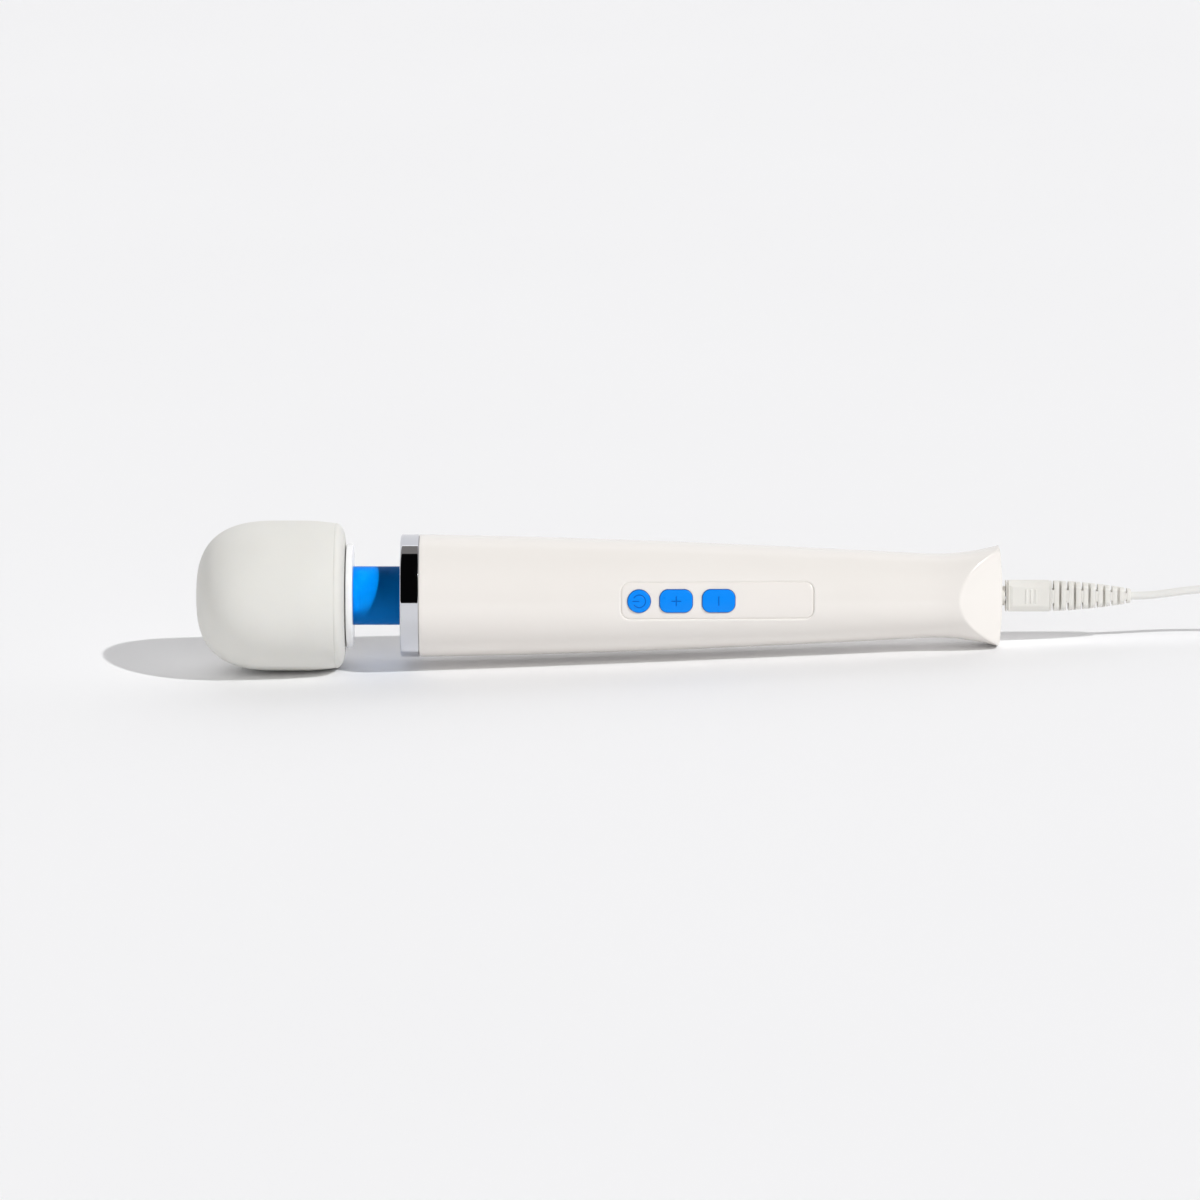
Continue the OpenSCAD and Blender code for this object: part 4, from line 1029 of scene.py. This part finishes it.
def adapter_shell(name, node, length, start, rear, front):
    """A box 30 by 26 mm with round corners, and edges rounded by rear and front."""
    turn = np.pi / 2 * np.linspace(0, 1, 8)
    stops = np.r_[rear * (1 - np.cos(turn)), np.linspace(rear + 0.3, length - front - 0.3, 5),
                  length - front * (1 - np.cos(turn[::-1]))] + start
    insets = np.r_[rear * (1 - np.sin(turn)), np.zeros(5), front * (1 - np.sin(turn[::-1]))]
    made = lofted(name, stops, [(15 - d, 13 - d) for d in insets], 4 - insets, 144,
                  place=at_adapter)
    seat(made, adapter_white, "handle", "adapter_white", node)
    return made


adapter_body = adapter_shell("adapter_body", "adapter_case", 31.9, 0.0, 2.5, 0.25)
adapter_front = adapter_shell("adapter_front", "adapter_face", 7.8, 32.2, 0.25, 1.2)
coat(soft_white, "adapter_relief")
brass = plain_finish("turned_brass", (188, 158, 88), (214, 186, 116), (0.18, 0.34), 0.0008,
                     0.000008, (1, 0.15, 1), Metallic=1.0)
coat(brass, "adapter_blades", "inlet_pin", "shaft_ferrule")

# ---- Works inside the head ----
# The cap hides a two-part plastic housing held by three screws. Two ball bearings in it carry
# a steel shaft with a sintered half-round weight, which shakes the head as it turns.
dull_white = plain_finish("moulded_dull_white", (206, 206, 202), (217, 217, 213), (0.45, 0.62),
                          0.0015, 0.00004)
plated = plain_finish("zinc_plated_screw", (158, 160, 164), (192, 194, 198), (0.22, 0.42),
                      0.0008, 0.00001, Metallic=1.0)
ground = plain_finish("ground_steel", (170, 172, 176), (196, 198, 202), (0.12, 0.26), 0.0006,
                      0.000006, (0.2, 1, 1), Metallic=1.0)
sintered = plain_finish("sintered_steel", (70, 72, 76), (104, 106, 110), (0.4, 0.6), 0.0005,
                        0.00005, Metallic=1.0)
coat(dull_white, "head_shell", "head_base")
coat(plated, "head_screws", "clamp_screws", "shell_screws", "board_screws")
coat(ground, "bearing_outer_rings", "bearing_inner_rings", "bearing_balls", "eccentric_shaft")
coat(sintered, "eccentric_weight", "drive_coupling")

# ---- Drive and motor ----
# A flexible steel shaft joins the weight to a brushed motor: a rolled zinc-plated can with two
# ferrite magnets, a stacked core wound with enamelled copper, and a black plastic end cap.
black = plain_finish("black_plastic", (30, 30, 32), (44, 44, 47), (0.4, 0.58), 0.0012, 0.00004)
coat(black, "neck_clamp", "motor_end_cap", "switch_bodies")
coat(gloss, "neck_plate")
coat(chrome, "plug_barrel")
coat(ground, "motor_shaft")
coat(steel, "flex_shaft")
coat(plain_finish("zinc_can", (150, 152, 155), (182, 184, 188), (0.28, 0.48), 0.006, 0.00001,
                  (0.3, 1, 1), Metallic=1.0), "motor_can")
coat(plain_finish("sintered_bronze", (138, 108, 68), (170, 138, 92), (0.35, 0.5), 0.0004,
                  0.00003, Metallic=1.0), "motor_bushes")
coat(plain_finish("ferrite", (52, 52, 55), (68, 68, 72), (0.5, 0.7), 0.0008, 0.00004),
     "motor_magnets")
coat(plain_finish("core_steel", (104, 106, 110), (146, 148, 152), (0.35, 0.55), 0.0004, 0.00004,
                  (2.5, 0.2, 0.2), Metallic=1.0), "armature_core")
coat(plain_finish("enamelled_copper", (158, 78, 38), (206, 116, 62), (0.2, 0.38), 0.0004,
                  0.00008, (0.15, 2, 2), Metallic=1.0), "armature_windings")
coat(plain_finish("copper_bars", (196, 116, 74), (222, 146, 100), (0.16, 0.34), 0.0006, 0.00001,
                  (2, 0.2, 0.2), Metallic=1.0), "commutator")
coat(plain_finish("pressed_carbon", (38, 38, 40), (58, 58, 61), (0.55, 0.75), 0.0004, 0.00004),
     "motor_brushes")
coat(plain_finish("black_rubber", (24, 24, 26), (36, 36, 38), (0.6, 0.8), 0.001, 0.00004),
     "motor_isolators")

# ---- Board, switches and inlet ----
# Cream plungers reach from the buttons to three switches on a green board, held by screws and
# lit by two clear lamps. Red and black leads join it to the motor and to the inlet's jack.
coat(plain_finish("switch_cream", (206, 194, 166), (222, 211, 184), (0.38, 0.52), 0.001),
     "power_plunger", "plus_plunger", "minus_plunger")
coat(plain_finish("inlet_plastic", (222, 220, 213), (234, 232, 226), (0.35, 0.5), 0.0012),
     "dc_inlet")
board_green, board_shader, t = new_finish("board_green", IOR=1.5)
tracks = t.node("ShaderNodeTexWave", {
    "Vector": t.node("ShaderNodeTexCoord", out=3), "Scale": 260.0, "Distortion": 3.0,
    "Detail": 2.0}, out=1).step(0.72, 0.8)
wire(
    board_shader,
    Base_Color=tracks.between(srgb(20, 92, 52), srgb(38, 122, 70)),
    Roughness=0.3 + 0.12 * noise(t, 0.002),
    Normal=bump(t, tracks, 0.00003),
)
coat(board_green, "control_board")
clear, clear_shader, t = new_finish("clear_resin", IOR=1.5, Transmission_Weight=0.7)
wire(
    clear_shader,
    Base_Color=noise(t, 0.002).between(srgb(232, 238, 242), srgb(244, 247, 250)),
    Roughness=0.06 + 0.08 * noise(t, 0.001, 3.0),
)
coat(clear, "indicator_leds")
insulation, insulation_shader, t = new_finish("wire_insulation", IOR=1.48)
split = t.node("ShaderNodeSeparateXYZ", {0: t.node("ShaderNodeTexCoord", out=3)})
# above the plane between the two rows of leads, which falls with the wand's axis, they are red
upper = (split.output(2) + 0.035351 * split.output(0)).step(0.0257, 0.0259)
wire(
    insulation_shader,
    Base_Color=upper.between(srgb(34, 34, 36), srgb(186, 34, 30)),
    Roughness=0.34 + 0.14 * noise(t, 0.002, 3.0),
    Normal=bump(t, noise(t, 0.0006), 0.00002),
)
coat(insulation, "inlet_leads", "motor_leads")
